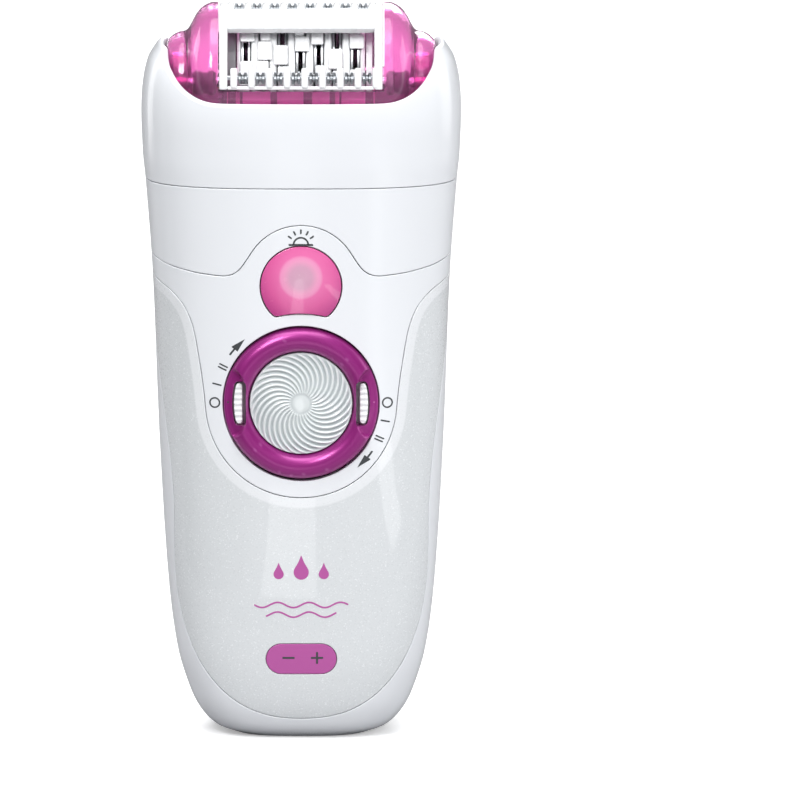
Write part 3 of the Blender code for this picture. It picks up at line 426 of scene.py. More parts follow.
def one_way(loops, flatten=as_is):
    """The loops with the outer one anticlockwise and the holes clockwise when laid out flat."""
    return [
        loop if (signed_area(flatten(loop)) > 0) == (k == 0) else loop[::-1]
        for k, loop in enumerate(loops)
    ]


def sideways(points, normals):
    """For a closed line on a surface: the direction to its left, longer at corners."""
    ahead = np.roll(points, -1, axis=0) - points
    ahead /= np.linalg.norm(ahead, axis=1, keepdims=True)
    behind = np.roll(ahead, 1, axis=0)
    along = ahead + behind
    size = np.linalg.norm(along, axis=1, keepdims=True)
    along /= np.maximum(size, 1e-9)
    left = np.cross(normals, along)
    left /= np.linalg.norm(left, axis=1, keepdims=True)
    return left / np.maximum(size / 2, 0.6)


def shell(name, loops, surface, fill, wall, gap, edge, arc_steps=3):
    """A piece of a surface as a closed body with rounded edges.

    loops and fill hold places on the surface. The edges stand back by gap and are rounded by
    edge, which is one size or one for each loop."""
    lift, nearest, flatten, unflatten = surface
    edges = [edge] * len(loops) if np.isscalar(edge) else edge
    rims = []
    insets = []
    for loop, size in zip(one_way(loops, flatten), edges):
        p, n = lift(loop)
        left = sideways(p, n)
        rims.append((p, n, left, size))
        insets.append(nearest(p + left * (gap + size)))
    tree = nearest_among(np.vstack([lift(inset)[0] for inset in insets]))
    clear = np.array([tree.find(p)[2] > CLEAR_OF_RIM for p in lift(fill)[0]])
    flat, triangles = triangulated([flatten(inset) for inset in insets], flatten(fill[clear]))
    outer, normals = lift(unflatten(flat))
    depth = wall if np.isscalar(wall) else wall(outer)[:, None]
    points = [outer, outer - normals * depth]
    directions = [normals, -normals]
    count = len(outer)
    faces = two_sheets(triangles, count)
    angles = [math.pi / 2 * k / arc_steps for k in range(1, arc_steps + 1)]
    total = 2 * count
    start = 0
    for p, n, left, edge in rims:
        size = len(p)
        out = unit(left)
        thick = depth if np.isscalar(depth) else depth[start : start + size]
        stages = [(1 - math.sin(a), edge * (1 - math.cos(a)), math.cos(a), math.sin(a)) for a in angles]
        for share, sink, up, side in stages:
            points.append(p + left * (gap + edge * share) - n * sink)
            directions.append(n * up - out * side)
        for share, sink, up, side in reversed(stages):
            points.append(p + left * (gap + edge * share) - n * (thick - sink))
            directions.append(-n * up - out * side)
        rings = [start, *range(total, total + 2 * arc_steps * size, size), count + start]
        for high, low in zip(rings, rings[1:]):
            faces += [(high + (k + 1) % size, high + k, low + k, low + (k + 1) % size) for k in range(size)]
        total += 2 * arc_steps * size
        start += size
    return smooth_mesh(name, np.vstack(points), faces, np.vstack(directions))


def two_sheets(triangles, count):
    """The triangles, and the same again turned over on the sheet whose points come count later."""
    return [tuple(t) for t in triangles] + [tuple(v + count for v in reversed(t)) for t in triangles]


def prism(name, loops, triangles, outer, inner):
    """A closed body with sharp edges between two sheets of points that share their triangles."""
    count = len(outer)
    faces = two_sheets(triangles, count)
    start = 0
    for loop in loops:
        n = len(loop)
        for k in range(n):
            a, b = start + k, start + (k + 1) % n
            faces.append((b, a, a + count, b + count))
        start += n
    return smooth_mesh(name, np.vstack([outer, inner]), faces)


def skin_fill(spacing, low, high):
    """A grid of places all over the skin, closer together where it curves most."""
    rows = [low]
    while rows[-1] < high:
        tight = rows[-1] < 6 * MM or rows[-1] > 136 * MM
        rows.append(rows[-1] + (0.5 * MM if tight else spacing))
    around = np.arange(-HALF_GIRTH, HALF_GIRTH, spacing)
    return np.array([(u + (k % 2) * spacing / 2, z) for k, z in enumerate(rows) for u in around])


def skin_loop(places):
    """A closed line on the skin with evenly spaced points."""
    return place_of(resampled(skin(places)[0], 0.4 * MM, closed=True))


def skin_shell(name, loops, wall, low, high, gap=SEAM / 2, edge=EDGE, spacing=SKIN_SPACING):
    even = [skin_loop(loop) for loop in loops]
    return shell(name, even, SKIN, skin_fill(spacing, low, high), wall, gap, edge)


def joined(name, objects):
    """One object from several, all of them meshes."""
    bm = bmesh.new()
    for obj in objects:
        bm.from_mesh(obj.data)
        bpy.data.objects.remove(obj, do_unlink=True)
    return object_from(bm, name)


def sharpened(obj, degrees=35):
    obj.data.shade_smooth()
    obj.data.set_sharp_from_angle(angle=math.radians(degrees))
    return obj


def ringed_body(name, rings, wrap=False, near_cap=False, far_cap=False):
    """Rings of equally many points joined one to the next, with the faces turned outwards."""
    bm = bmesh.new()
    verts = [[bm.verts.new(p) for p in ring] for ring in rings]
    for low, high in zip(verts, verts[1:] + verts[:1] if wrap else verts[1:]):
        for k in range(len(low)):
            m = (k + 1) % len(low)
            bm.faces.new((low[k], low[m], high[m], high[k]))
    if near_cap:
        bm.faces.new(verts[0])
    if far_cap:
        bm.faces.new(verts[-1])
    bmesh.ops.remove_doubles(bm, verts=bm.verts, dist=1e-7)
    bmesh.ops.recalc_face_normals(bm, faces=bm.faces)
    return object_from(bm, name)


def lathe(name, profile, place, steps, closed=True):
    """A profile of (radius, x) points turned round a line along X; closed profiles are rings."""
    y, z = place
    turn = 2 * math.pi * np.arange(steps) / steps
    rings = [[(x, y + r * math.sin(a), z - r * math.cos(a)) for a in turn] for r, x in profile]
    return sharpened(ringed_body(name, rings, wrap=closed))


def cut_by(obj, cutters):
    """The object with the cutters taken away, as a plain mesh."""
    for cutter in cutters:
        modifier = obj.modifiers.new(cutter.name, "BOOLEAN")
        modifier.object = cutter
        modifier.operation = "DIFFERENCE"
        modifier.solver = "EXACT"
    bpy.context.view_layer.update()
    mesh = bpy.data.meshes.new_from_object(obj.evaluated_get(bpy.context.evaluated_depsgraph_get()))
    obj.modifiers.clear()
    obj.data = mesh
    for cutter in cutters:
        bpy.data.objects.remove(cutter, do_unlink=True)
    return sharpened(obj)


def block(name, low, high):
    low, high = Vector(low), Vector(high)
    bm = bmesh.new()
    bmesh.ops.create_cube(bm, size=1.0)
    bmesh.ops.scale(bm, vec=high - low, verts=bm.verts)
    bmesh.ops.translate(bm, verts=bm.verts, vec=(low + high) / 2)
    return object_from(bm, name)


# ---------------------------------------------------------------- materials


class Look:
    """A Principled material with helpers for the nodes that give it real-scale detail."""

    def __init__(self, name, colour, roughness, **more):
        self.material = bpy.data.materials.new(name)
        self.material.use_nodes = True
        self.nodes = self.material.node_tree.nodes
        self.links = self.material.node_tree.links
        self.shader = self.nodes["Principled BSDF"]
        self.set("Base Color", (*colour, 1.0))
        self.set("Roughness", roughness)
        for socket, value in more.items():
            self.set(socket.replace("_", " "), value)

    def set(self, socket, value):
        self.shader.inputs[socket].default_value = value

    def node(self, kind, **inputs):
        made = self.nodes.new(kind)
        for socket, value in inputs.items():
            made.inputs[socket.replace("_", " ")].default_value = value
        return made

    def coordinates(self):
        return self.nodes.new("ShaderNodeTexCoord").outputs["Object"]

    def noise(self, size, detail=3.0):
        """Noise with features of a size in metres, from 0 to 1."""
        made = self.node("ShaderNodeTexNoise", Scale=1.0 / size, Detail=detail)
        self.links.new(self.coordinates(), made.inputs["Vector"])
        return made.outputs["Fac"]

    def spread(self, value, low, high, start=0.3, end=0.7):
        made = self.node("ShaderNodeMapRange", From_Min=start, From_Max=end, To_Min=low, To_Max=high)
        self.links.new(value, made.inputs["Value"])
        return made.outputs["Result"]

    def roughness(self, size, low, high):
        varied = self.spread(self.noise(size, 1.0), low, high, 0.0, 1.0)
        self.links.new(varied, self.shader.inputs["Roughness"])
        return self

    def bump(self, height, depth, strength=1.0):
        made = self.node("ShaderNodeBump", Strength=strength, Distance=depth)
        self.links.new(height, made.inputs["Height"])
        self.links.new(made.outputs["Normal"], self.shader.inputs["Normal"])
        return self

    def grain(self, size, depth):
        return self.bump(self.noise(size), depth)

    def blend(self, factor, first, second):
        """Between two colours by a factor; the first may be a socket."""
        made = self.nodes.new("ShaderNodeMix")
        made.data_type = "RGBA"
        if isinstance(first, tuple):
            made.inputs["A"].default_value = (*first, 1.0)
        else:
            self.links.new(first, made.inputs["A"])
        made.inputs["B"].default_value = (*second, 1.0)
        self.links.new(factor, made.inputs["Factor"])
        return made.outputs["Result"]

    def mixed(self, factor, first, second):
        """Colours first and second by a factor, into the base colour."""
        self.links.new(self.blend(factor, first, second), self.shader.inputs["Base Color"])
        return self

    def stored(self, name):
        """Values that the mesh holds under a name."""
        made = self.nodes.new("ShaderNodeAttribute")
        made.attribute_name = name
        return made.outputs["Fac"]

    def edge_tint(self, colour, edge_colour, start=0.52, end=0.62):
        """Edges a little lighter or darker than the flats, by the mesh's pointiness."""
        pointiness = self.nodes.new("ShaderNodeNewGeometry").outputs["Pointiness"]
        return self.mixed(self.spread(pointiness, 0.0, 1.0, start, end), colour, edge_colour)


WHITE = (0.80, 0.82, 0.85)
DARK_MARK = (0.055, 0.06, 0.065)
MAGENTA = (0.46, 0.095, 0.34)


def white_shell_look():
    look = Look("white_shell", WHITE, 0.25, Coat_Weight=0.35, Coat_Roughness=0.08)
    return look.roughness(4 * MM, 0.24, 0.28).grain(0.5 * MM, 0.0006 * MM).material


def white_soft_look():
    look = Look("white_soft", (0.84, 0.85, 0.86), 0.3, Coat_Weight=0.5, Coat_Roughness=0.06)
    look.edge_tint((0.84, 0.85, 0.86), (0.92, 0.93, 0.94))
    return look.roughness(2 * MM, 0.22, 0.34).grain(0.3 * MM, 0.003 * MM).material


def pearl_look():
    """Clear lacquer over fine flakes, whiter near the seams where the part under it shows."""
    look = Look("pearl_window", (0.6, 0.62, 0.64), 0.4, Coat_Weight=1.0, Coat_Roughness=0.03)
    flakes = look.node("ShaderNodeTexVoronoi", Scale=1.0 / (0.22 * MM))
    look.links.new(look.coordinates(), flakes.inputs["Vector"])
    split = look.nodes.new("ShaderNodeSeparateColor")
    look.links.new(flakes.outputs["Color"], split.inputs["Color"])
    glitter = look.spread(split.outputs["Red"], 0.0, 0.55, 0.90, 1.0)
    border = look.spread(look.stored("seam_distance"), 1.0, 0.0, 1.9 * MM, 2.3 * MM)
    window = look.blend(glitter, (0.68, 0.705, 0.72), (0.92, 0.94, 0.96))
    look.mixed(border, window, (0.80, 0.82, 0.84))
    look.links.new(look.spread(split.outputs["Green"], 0.25, 0.5, 0, 1), look.shader.inputs["Roughness"])
    return look.bump(split.outputs["Blue"], 0.003 * MM, 0.4).material


def pink_clear_look():
    clear = {"Transmission_Weight": 0.92, "IOR": 1.46, "Coat_Weight": 0.3}
    look = Look("pink_clear", (0.94, 0.40, 0.73), 0.06, **clear)
    return look.roughness(3 * MM, 0.05, 0.12).grain(0.8 * MM, 0.003 * MM).material


def lens_look():
    """Milky pink with a paler core and a deeper rim."""
    look = Look("pink_lens", (0.8, 0.2, 0.42), 0.25, Coat_Weight=1.0, Coat_Roughness=0.04)
    away = look.node("ShaderNodeVectorMath")
    away.operation = "DISTANCE"
    flat = look.node("ShaderNodeVectorMath")
    flat.operation = "MULTIPLY"
    flat.inputs[1].default_value = (1.0, 0.0, 1.0)
    look.links.new(look.coordinates(), flat.inputs[0])
    look.links.new(flat.outputs["Vector"], away.inputs[0])
    away.inputs[1].default_value = (0.0, 0.0, LENS_Z + 1.9 * MM)
    ramp = look.nodes.new("ShaderNodeValToRGB")
    share = look.spread(away.outputs["Value"], 0.0, 1.0, 0.0, 10 * MM)
    look.links.new(share, ramp.inputs["Fac"])
    stops = (
        (0.00, (0.62, 0.36, 0.48)),
        (0.22, (0.64, 0.34, 0.48)),
        (0.34, (0.80, 0.33, 0.52)),
        (0.40, (0.82, 0.30, 0.52)),
        (0.46, (0.78, 0.16, 0.40)),
        (0.66, (0.72, 0.12, 0.35)),
        (0.98, (0.50, 0.055, 0.25)),
    )
    elements = ramp.color_ramp.elements
    for k, (place, colour) in enumerate(stops):
        if k >= 2:  # a new ramp has two stops
            elements.new(place)
        elements[k].position = place
        elements[k].color = (*colour, 1.0)
    look.links.new(ramp.outputs["Color"], look.shader.inputs["Base Color"])
    return look.roughness(2 * MM, 0.2, 0.3).grain(0.6 * MM, 0.002 * MM).material


def purple_look():
    colour = (0.35, 0.026, 0.235)
    look = Look("purple_metal", colour, 0.3, Metallic=0.45, Coat_Weight=0.5, Coat_Roughness=0.2)
    look.set("Specular Tint", (1.0, 0.72, 0.88, 1.0))
    look.edge_tint(colour, (0.50, 0.10, 0.38), 0.53, 0.66)
    return look.roughness(1.5 * MM, 0.28, 0.38).grain(0.12 * MM, 0.0012 * MM).material


def clear_disc_look():
    """Clear plastic over a pale backing, with painted shade that greys it down in the grooves."""
    look = Look("clear_disc", (0.80, 0.84, 0.85), 0.08, Coat_Weight=1.0, Coat_Roughness=0.03)
    # painted shade: the deeper a point lies in a groove, the greyer its colour
    depth = look.spread(look.stored("groove"), 0.0, 1.0, -0.12 * MM, 0.20 * MM)
    look.mixed(depth, (0.84, 0.88, 0.88), (0.46, 0.50, 0.515))
    return look.roughness(1 * MM, 0.06, 0.16).grain(0.4 * MM, 0.002 * MM).material


def steel_look(name="steel", colour=(0.62, 0.63, 0.65), low=0.16, high=0.3):
    look = Look(name, colour, 0.2, Metallic=1.0)
    look.edge_tint(colour, tuple(min(c * 1.35, 1.0) for c in colour))
    return look.roughness(0.6 * MM, low, high).grain(0.15 * MM, 0.001 * MM).material


def plastic_look(name, colour, edge_colour, low, high):
    look = Look(name, colour, low)
    look.edge_tint(colour, edge_colour)
    return look.roughness(3 * MM, low, high).grain(0.5 * MM, 0.006 * MM).material


def board_look():
    """Solder mask with tracks."""
    look = Look("circuit_green", (0.02, 0.16, 0.06), 0.35)
    tracks = look.node("ShaderNodeTexBrick", Scale=1.0 / (4 * MM), Mortar_Size=0.04)
    look.links.new(look.coordinates(), tracks.inputs["Vector"])
    look.mixed(tracks.outputs["Fac"], (0.02, 0.16, 0.06), (0.05, 0.26, 0.11))
    return look.roughness(2 * MM, 0.3, 0.45).bump(tracks.outputs["Fac"], 0.02 * MM).material


def wrap_look():
    """Shrink film with fine wrinkles."""
    look = Look("battery_wrap", (0.05, 0.16, 0.34), 0.3, Coat_Weight=0.4)
    look.mixed(look.spread(look.noise(9 * MM), 0, 1), (0.045, 0.15, 0.32), (0.06, 0.19, 0.40))
    return look.roughness(3 * MM, 0.25, 0.45).grain(2 * MM, 0.05 * MM).material


def ink_look(name, colour):
    look = Look(name, colour, 0.4)
    return look.roughness(0.8 * MM, 0.35, 0.5).grain(0.2 * MM, 0.002 * MM).material


LOOKS = {
    "white_shell": white_shell_look(),
    "white_soft": white_soft_look(),
    "pearl_window": pearl_look(),
    "pink_clear": pink_clear_look(),
    "pink_lens": lens_look(),
    "purple_metal": purple_look(),
    "clear_disc": clear_disc_look(),
    "steel": steel_look(),
    "silver_rollers": steel_look("silver_rollers", (0.42, 0.44, 0.46), 0.25, 0.4),
    "brass_pins": steel_look("brass_pins", (0.72, 0.52, 0.2)),
    "white_plastic": plastic_look("white_plastic", (0.78, 0.79, 0.80), (0.86, 0.87, 0.88), 0.3, 0.45),
    "grey_plastic": plastic_look("grey_plastic", (0.10, 0.10, 0.11), (0.2, 0.2, 0.21), 0.35, 0.5),
    "black_rubber": plastic_look("black_rubber", (0.02, 0.02, 0.022), (0.05, 0.05, 0.05), 0.6, 0.8),
    "circuit_green": board_look(),
    "battery_wrap": wrap_look(),
    "led_white": plastic_look("led_white", (0.92, 0.90, 0.82), (0.97, 0.96, 0.92), 0.12, 0.2),
    "pill_pink": plastic_look("pill_pink", MAGENTA, (0.55, 0.16, 0.42), 0.25, 0.35),
    "liner_pink": plastic_look("liner_pink", (0.90, 0.34, 0.68), (0.94, 0.5, 0.76), 0.25, 0.35),
    "dark_ink": ink_look("dark_ink", DARK_MARK),
    "pink_ink": ink_look("pink_ink", MAGENTA),
    "comb_dark": plastic_look("comb_dark", (0.10, 0.012, 0.07), (0.16, 0.03, 0.12), 0.3, 0.45),
}


def paint(obj, look):
    """Gives an object its material."""
    obj.data.materials.clear()
    obj.data.materials.append(LOOKS[look])


def dress(obj, look, body, slot, *nodes):
    """Gives a piece its material and its body, and hides the CAD nodes it stands for; slot is not used."""
    paint(obj, look)
    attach(obj, body)
    if nodes:
        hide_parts(*nodes)


# ---------------------------------------------------------------- seams on the front


def up_to_side(line):
    """(u, z) of a front line that runs outwards, ended where it meets the handle's side."""
    fine = resampled(line, 0.25 * MM)
    out = np.abs(fine[:, 0]) >= half_width(fine[:, 1])
    end = int(np.argmax(out)) if out.any() else len(fine)
    places = seen_from_front(fine[:end])
    if out.any():
        places = np.vstack([places, [math.copysign(SIDE, fine[end, 0]), fine[end, 1]]])
    return places


def mirrored(places):
    return places[::-1] * (-1, 1)


def wave_half():
    """Right half of the seam under the upper shell, from the middle out to the side."""
    crown = 11.8 * MM
    right = arc((0.0, 107.1 * MM - crown), crown, 90, 28, 16)
    dip = arc((15.8 * MM, 101.0 * MM), 4.6 * MM, 208, 270, 8)
    rest = [(21.5, 96.95), (27.0, 98.0), (30.3, 99.2), (34.0, 100.7)]
    line = right + dip + [(x * MM, z * MM) for x, z in rest]
    line = [(-x, z) for x, z in reversed(right[1:])] + line
    gentle = eased(line, 0.25 * MM, 24)
    return up_to_side(np.vstack([[0.0, gentle[:, 1].max()], gentle[gentle[:, 0] > 0.1 * MM]]))


def tongue_half():
    """Right edge of the tongue panel, from its lowest point up to the side."""
    lower = arc((0.0, DIAL_Z), 19.5 * MM, -90, -6, 24)
    upper = ((19.9, 3.0), (20.7, 8.5), (21.9, 15.0), (23.6, 19.2), (26.2, 22.2), (29.6, 24.3), (34.0, 26.4))
    line = lower + [(x * MM, DIAL_Z + z * MM) for x, z in upper]
    return up_to_side(curve_through(line, 4))


def window_half():
    """Right edge of the pearly window, from its lowest point up to the side."""
    power = 2 / 2.3
    wide, high, bottom = 25.9 * MM, 35.5 * MM, 4.5 * MM
    line = []
    for a in np.linspace(0, math.pi / 2, 25):
        line.append((wide * math.sin(a) ** power, bottom + high * (1 - math.cos(a) ** power)))
    for z in np.arange(43, 90, 3) * MM:
        line.append((wide + 4.3 * MM * float(smoothstep((z - 45 * MM) / (47 * MM))), z))
    line.append((31.4 * MM, 92 * MM))
    return up_to_side(line)


WAVE = wave_half()
TONGUE = tongue_half()
WINDOW = window_half()


def side_line(low, high):
    """The parting line up the handle's right side."""
    return np.column_stack([np.full(20, SIDE), np.linspace(low, high, 20)])


def level(z, start, end):
    """A level line round the skin from u = start to u = end."""
    around = np.linspace(start, end, max(int(abs(end - start) / (0.5 * MM)), 8))
    return np.column_stack([around, np.full(len(around), z)])


def ringed(right, closing):
    """A closed loop from its right half, its mirror image, and a line that closes the top."""
    return np.vstack([mirrored(right)[:-1], right, closing])


# ---------------------------------------------------------------- the handle


def wall_of_handle(points):
    """Wall thickness, less in the tight curve round the base."""
    return BASE_WALL + (HANDLE_WALL - BASE_WALL) * smoothstep(points[:, 2] / (14 * MM))


def circle(centre, radius, count):
    return np.array(arc(centre, radius, 0, 360, count)[:-1])


def dial_circle(radius, count):
    return circle((0.0, DIAL_Z), radius, count)


def lens_outline(grow):
    """A disc with a hollow lower edge that runs round the dial."""
    radius = LENS_RADIUS + grow
    notch = LENS_NOTCH - grow
    rise = LENS_Z - DIAL_Z
    cross = (rise**2 + notch**2 - radius**2) / (2 * rise)
    half = math.sqrt(notch**2 - cross**2)
    start = math.degrees(math.atan2(cross - rise, half))
    upper = arc((0.0, LENS_Z), radius, start, 180 - start, 90)
    edge = math.degrees(math.atan2(cross, half))
    lower = arc((0.0, DIAL_Z), notch, 180 - edge, edge, 24)
    return softened(resampled(upper + lower[1:-1], 0.25 * MM, closed=True), 4)


def closed_by(right, upper):
    """A panel's outline between its own lower edge and that of the panel above it."""
    rise = side_line(right[-1][1], upper[-1][1])[1:-1]
    return ringed(right, np.vstack([rise, upper[::-1], mirrored(upper)[::-1][1:], mirrored(rise)]))


def closed_at_top(right, far):
    """A panel's outline that goes up the side and along the top, from the side to u = far."""
    rise = side_line(right[-1][1], PANELS_TOP)
    return ringed(right, np.vstack([rise[1:], level(PANELS_TOP, SIDE, far)[1:], mirrored(rise)[1:-1]]))


def build_front_panels():
    upper = closed_at_top(WAVE, -SIDE)
    obj = skin_shell("front_shell_skin", [upper], wall_of_handle, 90 * MM, PANELS_TOP)
    dress(obj, "white_shell", "handle", "white_shell", "front_shell")

    dial_hole = seen_from_front(dial_circle(DIAL_RADIUS + 0.25 * MM, 160))
    tongue = [closed_by(TONGUE, WAVE), dial_hole, seen_from_front(lens_outline(0.0))]
    obj = skin_shell("tongue_panel_skin", tongue, wall_of_handle, 48 * MM, 110 * MM)
    dress(obj, "white_shell", "handle", "white_shell", "tongue_panel")

    pill = seen_from_front(stadium((0.0, PILL_Z), *PILL_SIZE, steps=24))
    window = [closed_by(WINDOW, TONGUE), pill]
    obj = skin_shell("window_panel_skin", window, wall_of_handle, 3 * MM, 98 * MM)
    mark_seam_distance(obj)
    dress(obj, "pearl_window", "handle", "pearl_window", "window_panel")
    obj = skin_shell("charge_indicator_skin", [pill], wall_of_handle, 10 * MM, 26 * MM, gap=0.02 * MM)
    dress(obj, "pill_pink", "handle", "pink_lens", "charge_indicator")


def mark_seam_distance(obj):
    """Stores how far each point of the window is from the tongue panel's edge."""
    tree = nearest_among(skin(np.vstack([TONGUE, mirrored(TONGUE)]))[0])
    store(obj, "seam_distance", [tree.find(v.co)[2] for v in obj.data.vertices])


BUTTON_Z = middle_of("release_button").z
BUTTON_SIZE = (16.0 * MM, 8.0 * MM)


def base_line():
    return level(BASE_Z, -HALF_GIRTH, HALF_GIRTH)[:-1]


def build_rear_housing():
    loop = closed_at_top(WINDOW, 2 * HALF_GIRTH - SIDE)
    hole = stadium((0.0, BUTTON_Z), BUTTON_SIZE[0] + 0.4 * MM, BUTTON_SIZE[1] + 0.4 * MM, 24)
    loops = [loop, base_line(), seen_from_front(hole, back=True)]
    sides = skin_shell("rear_sides", loops, wall_of_handle, 0.0, PANELS_TOP)
    rear = sharpened(joined("rear_housing_skin", [sides, build_floor()]), 60)
    dress(rear, "white_shell", "handle", "white_shell", "rear_housing")


def build_floor():
    """The flat underside, with the hole for the power inlet."""
    low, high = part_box("power_inlet")
    inlet = stadium((0.0, 0.0), high.x - low.x + 0.5 * MM, high.y - low.y + 0.5 * MM, 24)
    outline = skin(base_line())[0][:, :2] * 0.995
    loops = one_way([resampled(outline, 0.5 * MM, closed=True), resampled(inlet, 0.4 * MM, closed=True)])
    grid = np.arange(-14, 14.1, 1.2) * MM
    flat, triangles = triangulated(loops, np.array([(x, y) for x in grid for y in grid]))
    lower = np.column_stack([flat, np.full(len(flat), BASE_Z)])
    return prism("floor_plate", loops, triangles, lower + (0, 0, 1.2 * MM), lower)


def build_release_button():
    """The button on the back, with three raised bars to push on."""
    raised = 0.3 * MM
    outline = seen_from_front(stadium((0.0, BUTTON_Z), *BUTTON_SIZE, steps=24), back=True)
    button = skin_shell(
        "button_face", [outline], 3.0 * MM, 97 * MM, 109 * MM, gap=0.0, edge=0.4 * MM, spacing=0.8 * MM
    )
    button.data.transform(Matrix.Translation((0.0, raised, 0.0)))
    bars = []
    for k in (-1, 0, 1):
        z = BUTTON_Z + k * 1.9 * MM
        place = (0.0, float(skin_depth(0.0, z)) + raised, z)
        bars.append(rounded_bar(f"button_bar_{k + 1}", (8.0 - 1.5 * abs(k)) * MM, 0.7 * MM, place))
    obj = sharpened(joined("release_button_face", [button, *bars]), 60)
    dress(obj, "white_shell", "release", "white_shell", "release_button")


def rounded_bar(name, length, width, place):
    """A low bar along X with round ends, sunk a little in what it stands on."""
    bm = bmesh.new()
    bmesh.ops.create_uvsphere(bm, u_segments=20, v_segments=12, radius=width / 2)
    reach = (length - width) / 2
    for v in bm.verts:
        v.co.x += math.copysign(reach, v.co.x) if abs(v.co.x) > 1e-7 else 0.0
        v.co.y = 0.6 * v.co.y - 0.05 * MM
    bmesh.ops.translate(bm, verts=bm.verts, vec=place)
    return object_from(bm, name)


# ---------------------------------------------------------------- things set in the front


def flat_fill(low, high, spacing):
    across = np.arange(low[0], high[0], spacing)
    up = np.arange(low[1], high[1], spacing)
    return np.array([(x + (k % 2) * spacing / 2, z) for k, z in enumerate(up) for x in across])


def front_shell_of(name, loops, height, fill, wall, edge, steps=3):
    """A closed body whose front is y = -height(x, z), from loops of (x, z) points."""
    return shell(name, loops, facing_front(height), fill, wall, 0.0, edge, steps)


def build_lens():
    crown = 0.9 * MM

    def height(x, z):
        away = np.hypot(x, z - LENS_Z) / LENS_RADIUS
        return skin_depth(x, z) - 0.15 * MM + crown * (1 - np.clip(away, 0, 1.1) ** 2.4)

    outline = resampled(lens_outline(-0.08 * MM), 0.25 * MM, closed=True)
    fill = flat_fill((-8.5 * MM, LENS_Z - 8.5 * MM), (8.5 * MM, LENS_Z + 8.5 * MM), 0.5 * MM)
    obj = front_shell_of("light_lens_dome", [outline], height, fill, 1.6 * MM, edge=0.25 * MM)
    dress(obj, "pink_lens", "handle", "pink_lens", "light_lens")


def conforming(
    name, outlines, look, slot, body="handle", lift=0.03 * MM, height=skin_depth, spacing=0.3 * MM
):
    """Thin marks that follow the skin, one closed body for each outline."""

    def lifted(x, z):
        return height(x, z) + lift

    made = []
    for k, outline in enumerate(outlines):
        loops = [resampled(line, spacing, closed=True) for line in outline]
        fill = flat_fill(loops[0].min(0), loops[0].max(0), 0.6 * MM)
        made.append(front_shell_of(f"{name}_{k}", loops, lifted, fill, 0.06 * MM, edge=0.01 * MM, steps=1))
    dress(joined(name, made), look, body, slot)


def stroke(points, width):
    """The outline of a line with flat ends."""
    p = np.array(points, float)
    along = np.gradient(p, axis=0)
    along /= np.linalg.norm(along, axis=1, keepdims=True)
    left = np.column_stack([-along[:, 1], along[:, 0]]) * width / 2
    return [np.vstack([p + left, (p - left)[::-1]])]


def ring_mark(centre, radius, width):
    return [circle(centre, radius + width / 2, 40), circle(centre, radius - width / 2, 40)]


def round_dial(degrees, radius, offset=0.0):
    """A point at an angle round the dial, clockwise from the left, moved along the circle."""
    a = math.radians(180 - degrees)
    along = np.array([math.sin(a), -math.cos(a)]) * offset
    return np.array([radius * math.cos(a), DIAL_Z + radius * math.sin(a)]) + along


def dial_marks(flip):
    """Off ring, one bar, two bars and an arrow; the other side has them turned half round."""
    ring_radius = 17.55 * MM
    line = 0.31 * MM
    marks = [ring_mark(round_dial(flip, ring_radius), 0.98 * MM, line)]
    for degrees, offset in ((12.5, 0.0), (25.0, -0.33 * MM), (25.0, 0.33 * MM)):
        ends = [round_dial(degrees + flip, ring_radius + r * MM, offset) for r in (-0.98, 0.98)]
        marks.append(stroke(np.linspace(ends[0], ends[1], 6), line))
    tail = [round_dial(degrees + flip, ring_radius) for degrees in (34.4, 37.0, 40.5)]
    marks.append(stroke(curve_through(tail, 3), 0.4 * MM))
    head = [
        round_dial(39.6 + flip, ring_radius - 0.8 * MM),
        round_dial(39.4 + flip, ring_radius + 0.8 * MM),
        round_dial(49.3 + flip, ring_radius - 0.05 * MM),
    ]
    marks.append([np.array(head)])
    return marks


def lamp_icon():
    base_z = LENS_Z + 8.6 * MM
    base = [(-2.5 * MM, base_z), (2.5 * MM, base_z)]
    dome = arc((0.0, base_z), 1.5 * MM, 0, 180, 20)
    marks = [stroke(np.linspace(base[0], base[1], 8), 0.42 * MM), stroke(dome, 0.36 * MM)]
    for degrees in (35, 62, 90, 118, 145):
        a = math.radians(degrees)
        way = np.array([math.cos(a), math.sin(a)])
        ends = np.array([0.0, base_z]) + np.outer([2.25 * MM, 3.25 * MM], way)
        marks.append(stroke(np.linspace(ends[0], ends[1], 4), 0.36 * MM))
    return marks


def drop_outline(centre, size):
    """A falling drop, pointed at the top."""
    x, z = centre
    round_part = arc((x, z), size, 150, 390, 28)
    tip = (x, z + 2.3 * size)
    right = curve_through([round_part[-1], (x + 0.38 * size, z + 1.35 * size), tip], 6)
    left = curve_through([tip, (x - 0.38 * size, z + 1.35 * size), round_part[0]], 6)
    return [np.vstack([round_part, right[1:-1], left[:-1]])]


def water_sign():
    """A plain water sign, three drops over two waves, where the handle carries its print."""
    marks = [drop_outline((0.0, 35.4 * MM), 1.55 * MM)]
    for side in (-1, 1):
        marks.append(drop_outline((side * 4.6 * MM, 35.0 * MM), 1.05 * MM))
    for z, reach in ((28.6, 9.6), (26.6, 7.2)):
        x = np.linspace(-reach, reach, 60) * MM
        wave = z * MM + 0.55 * MM * np.sin(2 * math.pi * x / (6.4 * MM))
        marks.append(stroke(np.column_stack([x, wave]), 0.36 * MM))
    return marks


def pill_signs():
    """A minus and a plus."""
    reach, half = 1.25 * MM, 0.21 * MM
    z = PILL_Z + 0.25 * MM
    minus = np.array([(-reach, -half), (reach, -half), (reach, half), (-reach, half)])
    corner = [(-reach, -half), (-half, -half), (-half, -reach)]
    plus = []
    for _ in range(4):
        plus += corner
        corner = [(-y, x) for x, y in corner]
    return [[minus + (-2.6 * MM, z)], [np.array(plus) + (3.2 * MM, z)]]


